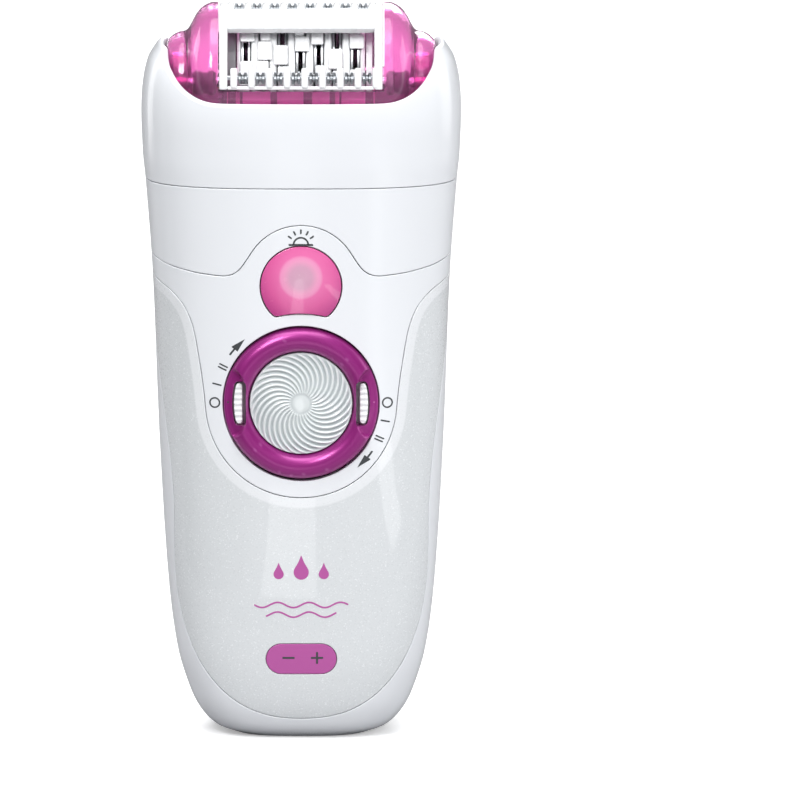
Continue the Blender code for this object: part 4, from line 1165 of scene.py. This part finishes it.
def build_marks():
    conforming("dial_marks_left", dial_marks(0.0), "dark_ink", "grey_plastic")
    conforming("dial_marks_right", dial_marks(180.0), "dark_ink", "grey_plastic")
    conforming("lamp_sign", lamp_icon(), "dark_ink", "grey_plastic")
    conforming("water_sign", water_sign(), "pink_ink", "pink_lens")
    conforming("charge_signs", pill_signs(), "dark_ink", "grey_plastic", spacing=0.2 * MM)


# ---------------------------------------------------------------- start switch

KEY_INNER = 11.9 * MM
KEY_OUTER = 13.7 * MM
KEY_HALF_HEIGHT = 4.2 * MM
GRIP_HALF_HEIGHT = 7.0 * MM
RING_SEAT = 15.7 * MM  # the ring's back, in front of the middle plane like the next four
BEAD_FOOT = 17.2 * MM
GRIP_FOOT = 17.6 * MM
DISC_EDGE = 17.95 * MM
DISC_CROWN = 18.95 * MM


def slot_outline(side, inner, outer, half_height):
    """A slot that follows the ring: a curved outer side and a nearly straight inner one."""
    z = np.linspace(-half_height, half_height, 15)
    outside = np.sqrt(np.maximum(outer**2 - (0.9 * z) ** 2, 0))
    inside_x = np.sqrt(np.maximum(inner**2 - (0.25 * z) ** 2, 0))
    right = np.column_stack([outside, DIAL_Z + z])
    left = np.column_stack([inside_x, DIAL_Z + z])[::-1]
    loop = np.vstack([right, left]) * (side, 1)
    return softened(resampled(loop, 0.2 * MM, closed=True), 14)


def grip_share(x, z):
    """1 in the thumb grips left and right of the ring, 0 on its bead, with a narrow step."""
    away_x = np.abs(x) - 13.9 * MM
    reach = np.hypot(away_x / (3.0 * MM), (z - DIAL_Z) / GRIP_HALF_HEIGHT)
    reach = np.where(away_x > 0, np.abs(z - DIAL_Z) / GRIP_HALF_HEIGHT, reach)
    return 1 - smoothstep((reach - 0.93) / 0.11)


def ring_height(x, z):
    radius = np.hypot(x, z - DIAL_Z)
    share = np.clip((radius - DIAL_BORE) / (DIAL_RADIUS - DIAL_BORE), 0.0, 1.0)
    bead = np.maximum(1 - np.abs(2 * share - 0.98) ** 2, 0.0) ** 0.5
    full = BEAD_FOOT + (DIAL_FRONT - BEAD_FOOT) * bead
    grip = DIAL_FRONT - 0.75 * MM - 1.35 * MM * smoothstep((radius - 11.0 * MM) / (4.4 * MM))
    inner_rim = smoothstep((radius - DIAL_BORE) / (0.5 * MM))
    grip = GRIP_FOOT + (grip - GRIP_FOOT) * inner_rim
    share = grip_share(x, z)
    return full * (1 - share) + np.minimum(grip, full + 0.3 * MM) * share


def build_ring():
    low, high = KEY_INNER - 0.7 * MM, KEY_OUTER + 0.3 * MM
    slots = [slot_outline(side, low, high, 4.6 * MM) for side in (-1, 1)]
    loops = one_way([dial_circle(DIAL_RADIUS, 280), dial_circle(DIAL_BORE, 200), *slots])
    radii = np.arange(DIAL_BORE + 0.2 * MM, DIAL_RADIUS - 0.1 * MM, 0.22 * MM)
    fill = np.vstack([dial_circle(radius, int(2 * math.pi * radius / (0.3 * MM))) for radius in radii])
    flat, triangles = triangulated(loops, fill)
    outer = facing_front(ring_height, 0.03 * MM).lift(flat)[0]
    inner = np.column_stack([outer[:, 0], np.full(len(outer), -RING_SEAT), outer[:, 2]])
    ring = sharpened(prism("switch_ring_bead", loops, triangles, outer, inner), 50)
    dress(ring, "purple_metal", "switch", "purple_metal", "switch_ring")


def build_index_marks():
    """A small dot on each grip."""
    for name, side, look in (("left", -1, "dark_ink"), ("right", 1, "pink_ink")):
        spot = circle((side * 14.85 * MM, DIAL_Z + 0.2 * MM), 0.2 * MM, 16)
        on_ring = {"body": "switch", "lift": 0.02 * MM, "height": ring_height, "spacing": 0.1 * MM}
        conforming(f"index_dot_{name}", [[spot]], look, "purple_metal", **on_ring)


SWIRL_RIBS = 30
SWIRL_SWEEP = 60  # degrees that each rib turns on its way out
DISC_RADIUS = 10.45 * MM
HUB_RADIUS = 1.95 * MM


def disc_share(radius):
    """0 at the hub, 1 at the rim."""
    return np.clip((radius - HUB_RADIUS) / (DISC_RADIUS - HUB_RADIUS), 0, 1)


def sweep_of(radius):
    """How far the ribs have turned at a radius."""
    return math.radians(SWIRL_SWEEP) * disc_share(radius) ** 1.5


def dish_of(radius):
    return DISC_CROWN - 0.75 * MM * (radius / DISC_RADIUS) ** 2


def swirl_height(x, z):
    """A shallow dish with curved ribs that run from a round hub out to the rim."""
    radius = np.hypot(x, z - DIAL_Z)
    angle = np.arctan2(z - DIAL_Z, x)
    share = disc_share(radius)
    wave = (0.5 + 0.5 * np.cos(SWIRL_RIBS * (angle - sweep_of(radius)))) ** 1.5
    strength = smoothstep(share / 0.12) * smoothstep((1 - share) / 0.12)
    hub_edge = 0.12 * MM * np.exp(-(((radius - HUB_RADIUS) / (0.25 * MM)) ** 2))
    return dish_of(radius) + (0.24 + 0.36 * share) * MM * (wave - 0.5) * strength - hub_edge


def build_disc():
    """The clear disc, meshed on rings that turn with its ribs."""
    hub = np.linspace(0.4 * MM, HUB_RADIUS, 5)
    ribbed = np.linspace(HUB_RADIUS + 0.15 * MM, DISC_RADIUS - 0.1 * MM, 44)
    around = SWIRL_RIBS * 10
    rings = [[(0.0, -float(swirl_height(0.0, DIAL_Z)), DIAL_Z)] * around]
    rim = [(DISC_RADIUS, DISC_EDGE), (DISC_RADIUS, RING_SEAT)]
    for radius, depth in [(radius, None) for radius in (*hub, *ribbed)] + rim:
        angles = sweep_of(radius) + 2 * math.pi * np.arange(around) / around
        x, z = radius * np.cos(angles), DIAL_Z + radius * np.sin(angles)
        y = -swirl_height(x, z) if depth is None else np.full(around, -depth)
        rings.append(np.column_stack([x, y, z]))
    disc = sharpened(ringed_body("switch_disc_swirl", rings, far_cap=True), 60)
    spots = np.array([v.co for v in disc.data.vertices])
    # depth below the dish, which the disc's material turns into painted shade in the grooves
    store(disc, "groove", dish_of(np.hypot(spots[:, 0], spots[:, 2] - DIAL_Z)) + spots[:, 1])
    dress(disc, "clear_disc", "switch", "clear_disc", "switch_disc")


def build_keys():
    """White release keys with fine ribs across them."""
    for name, side in (("left", -1), ("right", 1)):
        outline = slot_outline(side, KEY_INNER, KEY_OUTER, KEY_HALF_HEIGHT)
        middle = side * (KEY_INNER + KEY_OUTER) / 2

        def height(x, z, middle=middle):
            ribs = 0.5 + 0.5 * np.cos(2 * math.pi * (z - DIAL_Z) / (1.15 * MM))
            away = np.clip(np.abs(x - middle) / (1.0 * MM), 0, 1)
            ends = 1 - smoothstep((np.abs(z - DIAL_Z) - 3.3 * MM) / (0.9 * MM))
            return 18.0 * MM + 0.3 * MM * (1 - away**2) + 0.16 * MM * ribs * ends

        corner = np.array([1.2 * MM, 4.3 * MM])
        centre = np.array([middle, DIAL_Z])
        fill = flat_fill(centre - corner, centre + corner, 0.16 * MM)
        key = front_shell_of(f"switch_key_{name}_ribbed", [outline], height, fill, 2.2 * MM, edge=0.15 * MM)
        dress(key, "white_soft", f"{name}_key", "white_plastic", f"switch_key_{name}")


# ---------------------------------------------------------------- head collar

SCOOP_Z = 132.1 * MM
SCOOP_CORNER = 10.7 * MM
SCOOP_FLAT = 17.0 * MM


def build_collar():
    """The white collar, with a rounded rim that dips at the front and back between two horns."""
    top = COLLAR_TOP - 0.05 * MM
    corner = (SCOOP_FLAT, SCOOP_Z + SCOOP_CORNER)
    curve = [p for p in arc(corner, SCOOP_CORNER, -90, 0, 60) if p[1] < top]
    flat = [(x, SCOOP_Z) for x in np.linspace(-SCOOP_FLAT, SCOOP_FLAT, 60)[1:-1]]
    right = seen_from_front(curve)
    front = np.vstack([mirrored(right), seen_from_front(flat), right])
    back_right = seen_from_front(curve, back=True)
    across = level(top, right[-1][0], back_right[-1][0])[1:-1]
    back_flat = seen_from_front(flat, back=True)[::-1]
    rim = np.vstack([front, across, back_right[::-1], back_flat, back_right * (-1, 1), mirrored(across)])
    rim = from_plane(softened(to_plane(skin_loop(rim)), 14))
    low = level(COLLAR_LOW - 0.2 * MM, -HALF_GIRTH, HALF_GIRTH)[:-1]
    fill = skin_fill(SKIN_SPACING, COLLAR_LOW, COLLAR_TOP)
    edges = (COLLAR_WALL / 2, EDGE)
    collar = shell("head_collar_skin", [rim, low], SKIN, fill, COLLAR_WALL, 0.0, edges, 5)
    dress(collar, "white_shell", "head", "white_shell", "head_collar")


# ---------------------------------------------------------------- swivel housing

HOUSING_WALL = 1.3 * MM
BEARING_RADIUS = 2.8 * MM
# Middle and width of the guide combs' ribs, in millimetres.
COMB_RIBS = ((-14.0, 1.6), (-12.1, 0.5), (-5.5, 1.3), (1.4, 1.7), (6.4, 1.1), (8.0, 0.4), (13.9, 1.6))


def housing_profile(inset):
    """Radius and x of the housing's outside, or of its hollow when set in by the wall."""
    band = [(16.40, 0.0), (16.53, 9.0), (16.57, 17.0)]
    dome = [(16.25, 18.9), (15.30, 20.4), (13.90, 21.5), (12.20, 22.4), (11.20, 23.0)]
    lobe = [(10.75, 23.6), (10.50, 24.8), (9.90, 26.0), (8.90, 27.0), (7.60, 27.6), (6.20, 27.9)]
    points = curve_through(band + dome, 4)[:-1].tolist() + curve_through([dome[-1], *lobe], 4).tolist()
    end = lobe[-1][1] - inset / MM
    right = [((r - inset / MM) * MM, min(x, end) * MM) for r, x in points] + [(0.0, end * MM)]
    left = [(r, -x) for r, x in right[1:]]
    return list(reversed(right)) + left


def build_housing():
    """The pink see-through housing: domes left and right and a band that joins them in front."""
    housing = lathe("swivel_housing_clear", housing_profile(0.0), SWIVEL_AXIS, 120, closed=False)
    hollow = lathe("hollow", housing_profile(HOUSING_WALL), SWIVEL_AXIS, 120, closed=False)
    room = block("room", (-16.9 * MM, -0.04, PIVOT_Z + 0.8 * MM), (16.9 * MM, 0.04, 0.17))
    below = block("below", (-0.05, -0.04, 0.10), (0.05, 0.04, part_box("swivel_housing")[0].z + 0.02 * MM))
    ends = [(BEARING_RADIUS, 0.04), (BEARING_RADIUS, -0.04), (0.0, -0.04), (0.0, 0.04)]
    bore = lathe("bore", ends, SWIVEL_AXIS, 48)
    cut_by(housing, [hollow, room, below, bore])
    dress(housing, "pink_clear", "swivel", "pink_clear", "swivel_housing")


def build_sleeve(name, side):
    """A dark sleeve on the axle, with thicker bands."""
    ends = sorted((side * 17.3 * MM, side * 20.8 * MM))
    profile = []
    for k, x in enumerate(np.linspace(*ends, 5)):
        radius = (2.6 if k % 2 else 2.2) * MM
        profile += [(radius, max(x - 0.3 * MM, ends[0])), (radius, min(x + 0.3 * MM, ends[1]))]
    bore = 1.3 * MM
    profile += [(bore, ends[1]), (bore, ends[0])]
    sleeve = lathe(f"axle_sleeve_{name}", profile, SWIVEL_AXIS, 48)
    dress(sleeve, "comb_dark", "drum", "grey_plastic")


def build_boss(name, side):
    """The ring round the drum's bearing, inside the lobe at the housing's end."""
    near, far = sorted((side * 23.4 * MM, side * 25.6 * MM))
    profile = [(6.4 * MM, near), (6.4 * MM, far), (5.5 * MM, far), (5.5 * MM, near)]
    boss = lathe(f"bearing_boss_{name}", profile, SWIVEL_AXIS, 64)
    dress(boss, "pink_clear", "swivel", "pink_clear")


def build_comb(name, side):
    """Dark ribs of the guide comb, with a pink liner behind them."""
    low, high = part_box(f"guide_comb_{name}")
    front = low.y if side < 0 else high.y
    back = front - side * 0.6 * MM
    behind = sorted((back, back + side * 0.3 * MM))
    liner = block(f"comb_liner_{name}", (-15 * MM, behind[0], low.z), (15 * MM, behind[1], high.z))
    dress(liner, "liner_pink", "swivel", "grey_plastic")
    near, far = sorted((front, back))
    ribs = []
    for x, width in COMB_RIBS:
        left, right = (x - width / 2) * MM, (x + width / 2) * MM
        ribs.append(block("comb_rib", (left, near, low.z), (right, far, high.z)))
    comb = joined(f"guide_comb_{name}_ribs", ribs)
    dress(comb, "comb_dark", "swivel", "grey_plastic", f"guide_comb_{name}")


def build_inner_details():
    """What is seen through the pink plastic."""
    for name, side in (("left", -1), ("right", 1)):
        build_sleeve(name, side)
        build_boss(name, side)
    for name, side in (("front", -1), ("rear", 1)):
        build_comb(name, side)


# ---------------------------------------------------------------- tweezer drum

TWEEZER_RADIUS = 12.4 * MM
TWEEZER_BORE = 4.3 * MM
JAW_DEPTH = 2.2 * MM
SLOT_CLEARANCE = 0.12 * MM
CORE_RADIUS = 11.6 * MM
CORE_BORE = 1.5 * MM
# Where each pair's open jaws face, in degrees up from the front; they repeat every 90 degrees.
OPEN_ANGLES = (40, 82, 56, 29, 36, 52, 32)
OPEN_REACH = 10
DISC_PAIRS = len(OPEN_ANGLES)


def jaw_share(angle, phase):
    """1 at the middle of each of a disc's four jaws, 0 between them."""
    return np.clip(0.5 + 0.5 * np.cos(4 * (angle - phase)), 0, 1)


def tweezer_disc(name, low, thickness, towards, phase):
    """A steel plate with four jaws, thicker between them so that the slot narrows there."""
    around = 144
    angles = 2 * math.pi * np.arange(around) / around
    jaw = jaw_share(angles, phase)
    outer = TWEEZER_RADIUS - JAW_DEPTH * (1 - np.minimum(jaw * 2.2, 1.0))
    extra = 0.11 * MM * (1 - smoothstep(jaw * 1.6))
    outward = ((0.0, 0.0), (0.55, 0.0), (0.93, 0.0), (1.0, 0.12 * MM))
    sides = [(share, np.full(around, sink)) for share, sink in outward]
    for share, sink in reversed(outward):
        sides.append((share, thickness + extra * smoothstep(share / 0.6) - sink))
    rings = []
    for share, x in sides:
        radius = TWEEZER_BORE + (outer - TWEEZER_BORE) * share
        place = low + (x if towards > 0 else thickness - x)
        rings.append(np.column_stack([place, -radius * np.cos(angles), PIVOT_Z + radius * np.sin(angles)]))
    return sharpened(ringed_body(name, rings, wrap=True), 40)


def build_drum():
    low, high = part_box("drum_core")
    half = (high.x - low.x) / 2
    profile = [(CORE_BORE, half), (CORE_RADIUS, half)]
    for number in range(DISC_PAIRS, 0, -1):
        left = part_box(f"fixed_tweezer_disc_{number}")[0].x - SLOT_CLEARANCE
        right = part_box(f"clamp_tweezer_disc_{number}")[1].x + SLOT_CLEARANCE
        slot = [(12.2 * MM, 0.25 * MM), (11.9 * MM, 0.0), (4.0 * MM, 0.0)]
        profile += [(radius, right + x) for radius, x in slot]
        profile += [(radius, left - x) for radius, x in reversed(slot)]
    profile += [(CORE_RADIUS, -half), (CORE_BORE, -half)]
    core = lathe("drum_core_ribbed", profile, SWIVEL_AXIS, 72)
    dress(core, "white_soft", "drum", "white_plastic", "drum_core")
    for number, degrees in enumerate(OPEN_ANGLES, 1):
        phase = math.radians(degrees)
        for kind, body, towards in (("fixed", "drum", 1), ("clamp", "tweezer_clamp", -1)):
            node = f"{kind}_tweezer_disc_{number}"
            low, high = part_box(node)
            disc = tweezer_disc(f"{kind}_tweezer_plate_{number}", low.x, high.x - low.x, towards, phase)
            dress(disc, "steel", body, "steel", node)
    build_cams()


def build_cams():
    """White lobes on the drum that cover the slots between the plates, except at open jaws."""
    lobes = []
    for index, middle in enumerate(OPEN_ANGLES):
        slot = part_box(f"clamp_tweezer_disc_{index + 1}")[0].x - 0.35 * MM
        for quarter in range(4):
            start = middle + OPEN_REACH + 90 * quarter
            span = 90 - 2 * OPEN_REACH
            for part in range(3):
                cuts = (0.0, 0.26 + 0.14 * (index % 3), 0.80 - 0.1 * (quarter % 2), 1.0)
                near = start + span * cuts[part] + 0.6
                far = start + span * cuts[part + 1] - 0.6
                lean = (0.35, -0.3, 0.15)[(part + index) % 3] * MM
                reach = (1.45, 1.0, 1.25)[(part + 2 * index) % 3] * MM
                top = (12.9, 13.2, 13.0)[(part + index + quarter) % 3] * MM
                x = slot + lean
                lobes.append(cap_block("lobe", x - reach, x + reach, near, far, 12.5 * MM, top, 0.33 * MM))
    cams = sharpened(joined("drum_lobes", lobes), 60)
    dress(cams, "white_soft", "drum", "white_plastic")


# ---------------------------------------------------------------- massage cap


def on_cap(radius, degrees):
    """The y and z of a place round the swivel axis, at an angle up from the front."""
    a = math.radians(degrees)
    return -radius * math.cos(a), PIVOT_Z + radius * math.sin(a)


def sliced(bm, way, length, count):
    """Cuts a block that is centred on the origin into equal slices, so that it can bend."""
    for k in range(1, count):
        geom = bm.verts[:] + bm.edges[:] + bm.faces[:]
        place = Vector(way) * length * (k / count - 0.5)
        bmesh.ops.bisect_plane(bm, geom=geom, plane_co=place, plane_no=way)


def cap_block(name, x0, x1, a0, a1, r0, r1, edge, wave=None):
    """A block with rounded edges between two places along X, two angles and two radii.

    wave gives the degrees by which its far side is moved at a place along X."""
    mean = (r0 + r1) / 2
    length = math.radians(a1 - a0) * mean
    bm = bmesh.new()
    bmesh.ops.create_cube(bm, size=1.0)
    bmesh.ops.scale(bm, vec=(x1 - x0, length, r1 - r0), verts=bm.verts)
    bmesh.ops.bevel(bm, geom=bm.edges, offset=edge, segments=3, profile=0.5, affect="EDGES")
    sliced(bm, (0, 1, 0), length, int((a1 - a0) / 4))
    if wave:
        sliced(bm, (1, 0, 0), x1 - x0, 24)
    for v in bm.verts:
        x = v.co.x + (x0 + x1) / 2
        along = v.co.y / length + 0.5
        degrees = a0 + (a1 - a0) * along
        if wave:
            degrees += wave(x) * along**2
        v.co = (x, *on_cap(mean + v.co.z, degrees))
    bmesh.ops.recalc_face_normals(bm, faces=bm.faces)
    return object_from(bm, name)


def top_bar_wave(x):
    """A gentle wave across the cap, in degrees: a rise on the right and a dip on the left."""
    rise = 2.2 * math.exp(-(((x - 5.5 * MM) / (7 * MM)) ** 2))
    dip = 1.2 * math.exp(-(((x + 7 * MM) / (6 * MM)) ** 2))
    return rise - dip


def dot(place, radius):
    bm = bmesh.new()
    bmesh.ops.create_uvsphere(bm, u_segments=8, v_segments=6, radius=radius)
    bmesh.ops.translate(bm, verts=bm.verts, vec=place)
    return object_from(bm, "dot")


def finger_middles(shift):
    """Where the fingers stand, between and beside the rollers."""
    return [(k - ROLLERS / 2) * ROLLER_PITCH + shift for k in range(ROLLERS + 1)]


def build_cap():
    outer = CAP_RADIUS
    inner = CAP_RADIUS - 1.5 * MM
    width = CAP_HALF_WIDTH
    rail = 14.9 * MM
    parts = [
        cap_block("rail", -width, -rail, 4, 176, inner, outer + 0.2 * MM, 0.35 * MM),
        cap_block("rail", rail, width, 4, 176, inner, outer + 0.2 * MM, 0.35 * MM),
        cap_block("front_bar", -rail, rail, 4, 6.6, inner, outer, 0.2 * MM),
        cap_block("top_bar", -rail, rail, 52, 76, inner, outer + 0.15 * MM, 0.3 * MM, top_bar_wave),
        cap_block("top_floor", -rail, rail, 74, 92, inner, outer - 0.9 * MM, 0.2 * MM),
        cap_block("rear_skirt", -rail, rail, 108, 176, inner, outer, 0.3 * MM),
    ]
    for x in finger_middles(FRONT_ROLLER_SHIFT):
        near, far = max(x - 0.72 * MM, -rail), min(x + 0.72 * MM, width - 0.2 * MM)
        parts.append(cap_block("finger", near, far, 5, 20.0, inner, outer + 0.3 * MM, 0.42 * MM))
    for x in finger_middles(0.0):
        near, far = x - 0.75 * MM, x + 0.75 * MM
        parts.append(cap_block("rear_finger", near, far, 78, 109, inner, outer + 0.25 * MM, 0.5 * MM))
    for row, degrees in enumerate((63, 68.5)):
        for k in range(20):
            x = (k - 9.75 + 0.5 * row) * 1.45 * MM
            parts.append(dot((x, *on_cap(outer + 0.12 * MM, degrees)), 0.29 * MM))
    comb = sharpened(joined("cap_frame_comb", parts), 60)
    dress(comb, "white_soft", "cap", "white_shell", "cap_frame")
    build_rollers("front", on_cap(ROLLER_AXIS_RADIUS, FRONT_ROLLER_ANGLE), FRONT_ROLLER_SHIFT)
    build_rollers("rear", on_cap(ROLLER_AXIS_RADIUS, REAR_ROLLER_ANGLE), 0.0)


def build_rollers(name, axis, shift):
    """Eight star wheels on one axle; each wheel has two toothed rims."""
    radius, reach = 0.5 * MM, 15.2 * MM
    profile = [(0.0, reach), (radius, reach), (radius, -reach), (0.0, -reach)]
    parts = [lathe("axle", profile, axis, 16, closed=False)]
    for k in range(ROLLERS):
        x = (k - (ROLLERS - 1) / 2) * ROLLER_PITCH + shift
        parts.append(star_wheel((x, *axis)))
    bar = sharpened(joined(f"{name}_star_rollers", parts), 30)
    dress(bar, "silver_rollers", f"{name}_rollers", "silver_rollers", f"{name}_roller_bar")


def star_wheel(place):
    """Two six-pointed rims with a waist between them."""
    half = ((0.2, 0.55), (0.4, 1.0), (0.8, 1.0), (0.9, 0.60))
    points = []
    for k in range(12):
        radius = 0.80 if k % 2 else 1.38
        a = math.pi * k / 6
        points.append((radius * math.cos(a), radius * math.sin(a)))
    rings = []
    for x, share in [(-x, share) for x, share in reversed(half)] + list(half):
        rings.append([Vector(place) + Vector((x, y * share, z * share)) * MM for y, z in points])
    return ringed_body("star", rings, near_cap=True, far_cap=True)


# ---------------------------------------------------------------- carried-over CAD nodes

NODE_LOOKS = {
    "steel": ("motor", "output_spindle", "drum_axle", "board_screw_1", "board_screw_2", "release_spring"),
    "brass_pins": ("motor_pinion", "head_drive_pinion", "inlet_pin_left", "inlet_pin_right"),
    "white_plastic": (
        "output_gear", "top_plate", "chassis", "head_base", "pivot_bush_left", "pivot_bush_right",
        "drum_end_flange", "switch_carrier",
    ),
    "grey_plastic": ("head_drive_shaft", "drum_gear"),
    "black_rubber": ("spindle_seal", "switch_seat", "power_inlet"),
    "circuit_green": ("circuit_board",),
    "battery_wrap": ("battery",),
    "led_white": ("light_led",),
}


def dress_frame():
    """Gives every CAD node that still shows its material."""
    for look, nodes in NODE_LOOKS.items():
        for node in nodes:
            obj = next(o for o in bpy.context.scene.objects if o.get("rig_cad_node") == node)
            paint(obj, look)


# ---------------------------------------------------------------- stage


def area_light(name, place, aim, size, power, reflected=True):
    """A softbox that lights and is reflected but is not itself in the picture."""
    data = bpy.data.lights.new(name, "AREA")
    data.shape = "RECTANGLE"
    data.size, data.size_y = size
    data.energy = power
    lamp = placed(name, data)
    lamp.location = place
    lamp.rotation_euler = (Vector(aim) - Vector(place)).to_track_quat("-Z", "Y").to_euler()
    lamp.visible_camera = False
    lamp.visible_glossy = reflected


def card(name, corners, look):
    """A card that only shows in reflections and casts no shadow."""
    obj = smooth_mesh(name, corners, [(0, 1, 2, 3)])
    obj.data.materials.append(look)
    obj.visible_camera = False
    obj.visible_shadow = False


def dark_card(name, degrees, distance, width, low, high):
    """A black card beside the camera, which puts a soft grey band on the white plastic."""
    a = math.radians(degrees)
    middle = np.array([distance * math.sin(a), -distance * math.cos(a)])
    along = np.array([math.cos(a), math.sin(a)]) * width / 2
    corners = [(*(middle + k * along), z) for k, z in ((-1, low), (1, low), (1, high), (-1, high))]
    card(name, corners, CARD_LOOK)


def card_look(name, colour):
    return Look(name, colour, 0.9).roughness(10 * MM, 0.85, 0.95).grain(2 * MM, 0.1 * MM).material


GREY_CARD_LOOK = card_look("grey_card", (0.16, 0.16, 0.17))
CARD_LOOK = card_look("black_card", (0.015, 0.015, 0.017))


def split_by_ray(nodes, links, lit, seen, surface):
    """Shows one shader to the camera, also through clear plastic, and another to everything else."""
    path = nodes.new("ShaderNodeLightPath")
    either = nodes.new("ShaderNodeMath")
    either.operation = "MAXIMUM"
    links.new(path.outputs["Is Camera Ray"], either.inputs[0])
    links.new(path.outputs["Is Transmission Ray"], either.inputs[1])
    mix = nodes.new("ShaderNodeMixShader")
    links.new(either.outputs["Value"], mix.inputs["Fac"])
    links.new(lit, mix.inputs[1])
    links.new(seen, mix.inputs[2])
    links.new(mix.outputs["Shader"], surface)


def build_studio_floor():
    """A white floor that sends less light up at the part than it shows."""
    reach = 12.0
    corners = [(x * reach, y * reach, -0.02 * MM) for x, y in ((-1, -1), (1, -1), (1, 1), (-1, 1))]
    floor = smooth_mesh("studio_floor", corners, [(0, 1, 2, 3)])
    look = Look("studio_floor", (0.93, 0.93, 0.93), 0.7).roughness(50 * MM, 0.6, 0.8).grain(2 * MM, 0.1 * MM)
    look.set("Emission Color", (1.0, 1.0, 1.0, 1.0))
    look.set("Emission Strength", 0.34)
    bounce = look.node("ShaderNodeBsdfDiffuse", Color=(0.36, 0.36, 0.37, 1.0))
    surface = look.nodes["Material Output"].inputs["Surface"]
    split_by_ray(look.nodes, look.links, bounce.outputs["BSDF"], look.shader.outputs["BSDF"], surface)
    floor.data.materials.append(look.material)


def build_world():
    """A dim even light all round, white where the camera sees it."""
    world = bpy.data.worlds.new("studio")
    bpy.context.scene.world = world
    world.use_nodes = True
    nodes, links = world.node_tree.nodes, world.node_tree.links
    around = nodes["Background"]
    around.inputs["Color"].default_value = (0.93, 0.96, 1.0, 1.0)
    around.inputs["Strength"].default_value = 0.17
    beyond = nodes.new("ShaderNodeBackground")
    beyond.inputs["Color"].default_value = (1.0, 1.0, 1.0, 1.0)
    surface = nodes["World Output"].inputs["Surface"]
    split_by_ray(nodes, links, around.outputs["Background"], beyond.outputs["Background"], surface)


def build_lights():
    sky = bpy.data.lights.new("sky", "SUN")
    sky.energy = 1.5
    sky.angle = math.radians(50)
    placed("sky", sky)
    aim = (0.0, 0.0, 0.07)
    area_light("key", (0.50, -0.90, 0.60), aim, (0.85, 0.85), 9.0, reflected=False)
    area_light("upper_left", (-0.42, -0.72, 0.80), aim, (0.38, 0.38), 6.0)
    area_light("rear", (0.25, 1.20, 0.70), aim, (0.6, 0.6), 5.0)
    area_light("top", (-0.05, -0.22, 0.75), aim, (0.7, 0.5), 1.8)
    area_light("left_rim", (-0.50, 0.30, 0.16), aim, (0.2, 0.5), 0.7)
    area_light("right_rim", (0.55, 0.14, 0.16), aim, (0.3, 0.5), 0.8)
    area_light("left_strip", (-0.010, -0.36, 0.001), (-0.010, -0.36, 1.0), (0.03, 0.44), 0.06)
    area_light("right_strip", (0.15, -0.31, 0.001), (0.15, -0.31, 1.0), (0.05, 0.34), 0.10)


def build_stage():
    build_studio_floor()
    build_world()
    build_lights()
    dark_card("left_card", -46, 0.14, 0.17, 0.0, 0.155)
    dark_card("right_card", 50, 0.24, 0.13, 0.12, 0.45)
    # On the floor in front, below the picture: it keeps the undersides darker.
    corners = [(x, y, 0.4 * MM) for x, y in ((-0.8, -1.4), (0.8, -1.4), (0.5, -0.10), (-0.5, -0.10))]
    card("front_card", corners, GREY_CARD_LOOK)


def build_camera():
    data = bpy.data.cameras.new("camera")
    data.sensor_width = 36.0
    data.lens = 882.0
    data.clip_start = 0.05
    camera = placed("camera", data)
    elevation = math.radians(10.0)
    target = Vector((20.1, 0.0, 67.8)) * MM
    camera.location = target + 4.0 * Vector((0.0, -math.cos(elevation), math.sin(elevation)))
    camera.rotation_euler = (math.pi / 2 - elevation, 0.0, 0.0)
    bpy.context.scene.camera = camera
    bpy.context.scene.view_settings.view_transform = "Standard"


# ---------------------------------------------------------------- assembly

build_front_panels()
build_rear_housing()
build_release_button()
build_lens()
build_marks()
build_ring()
build_index_marks()
build_disc()
build_keys()
build_collar()
build_housing()
build_inner_details()
build_drum()
build_cap()
dress_frame()
build_stage()
build_camera()
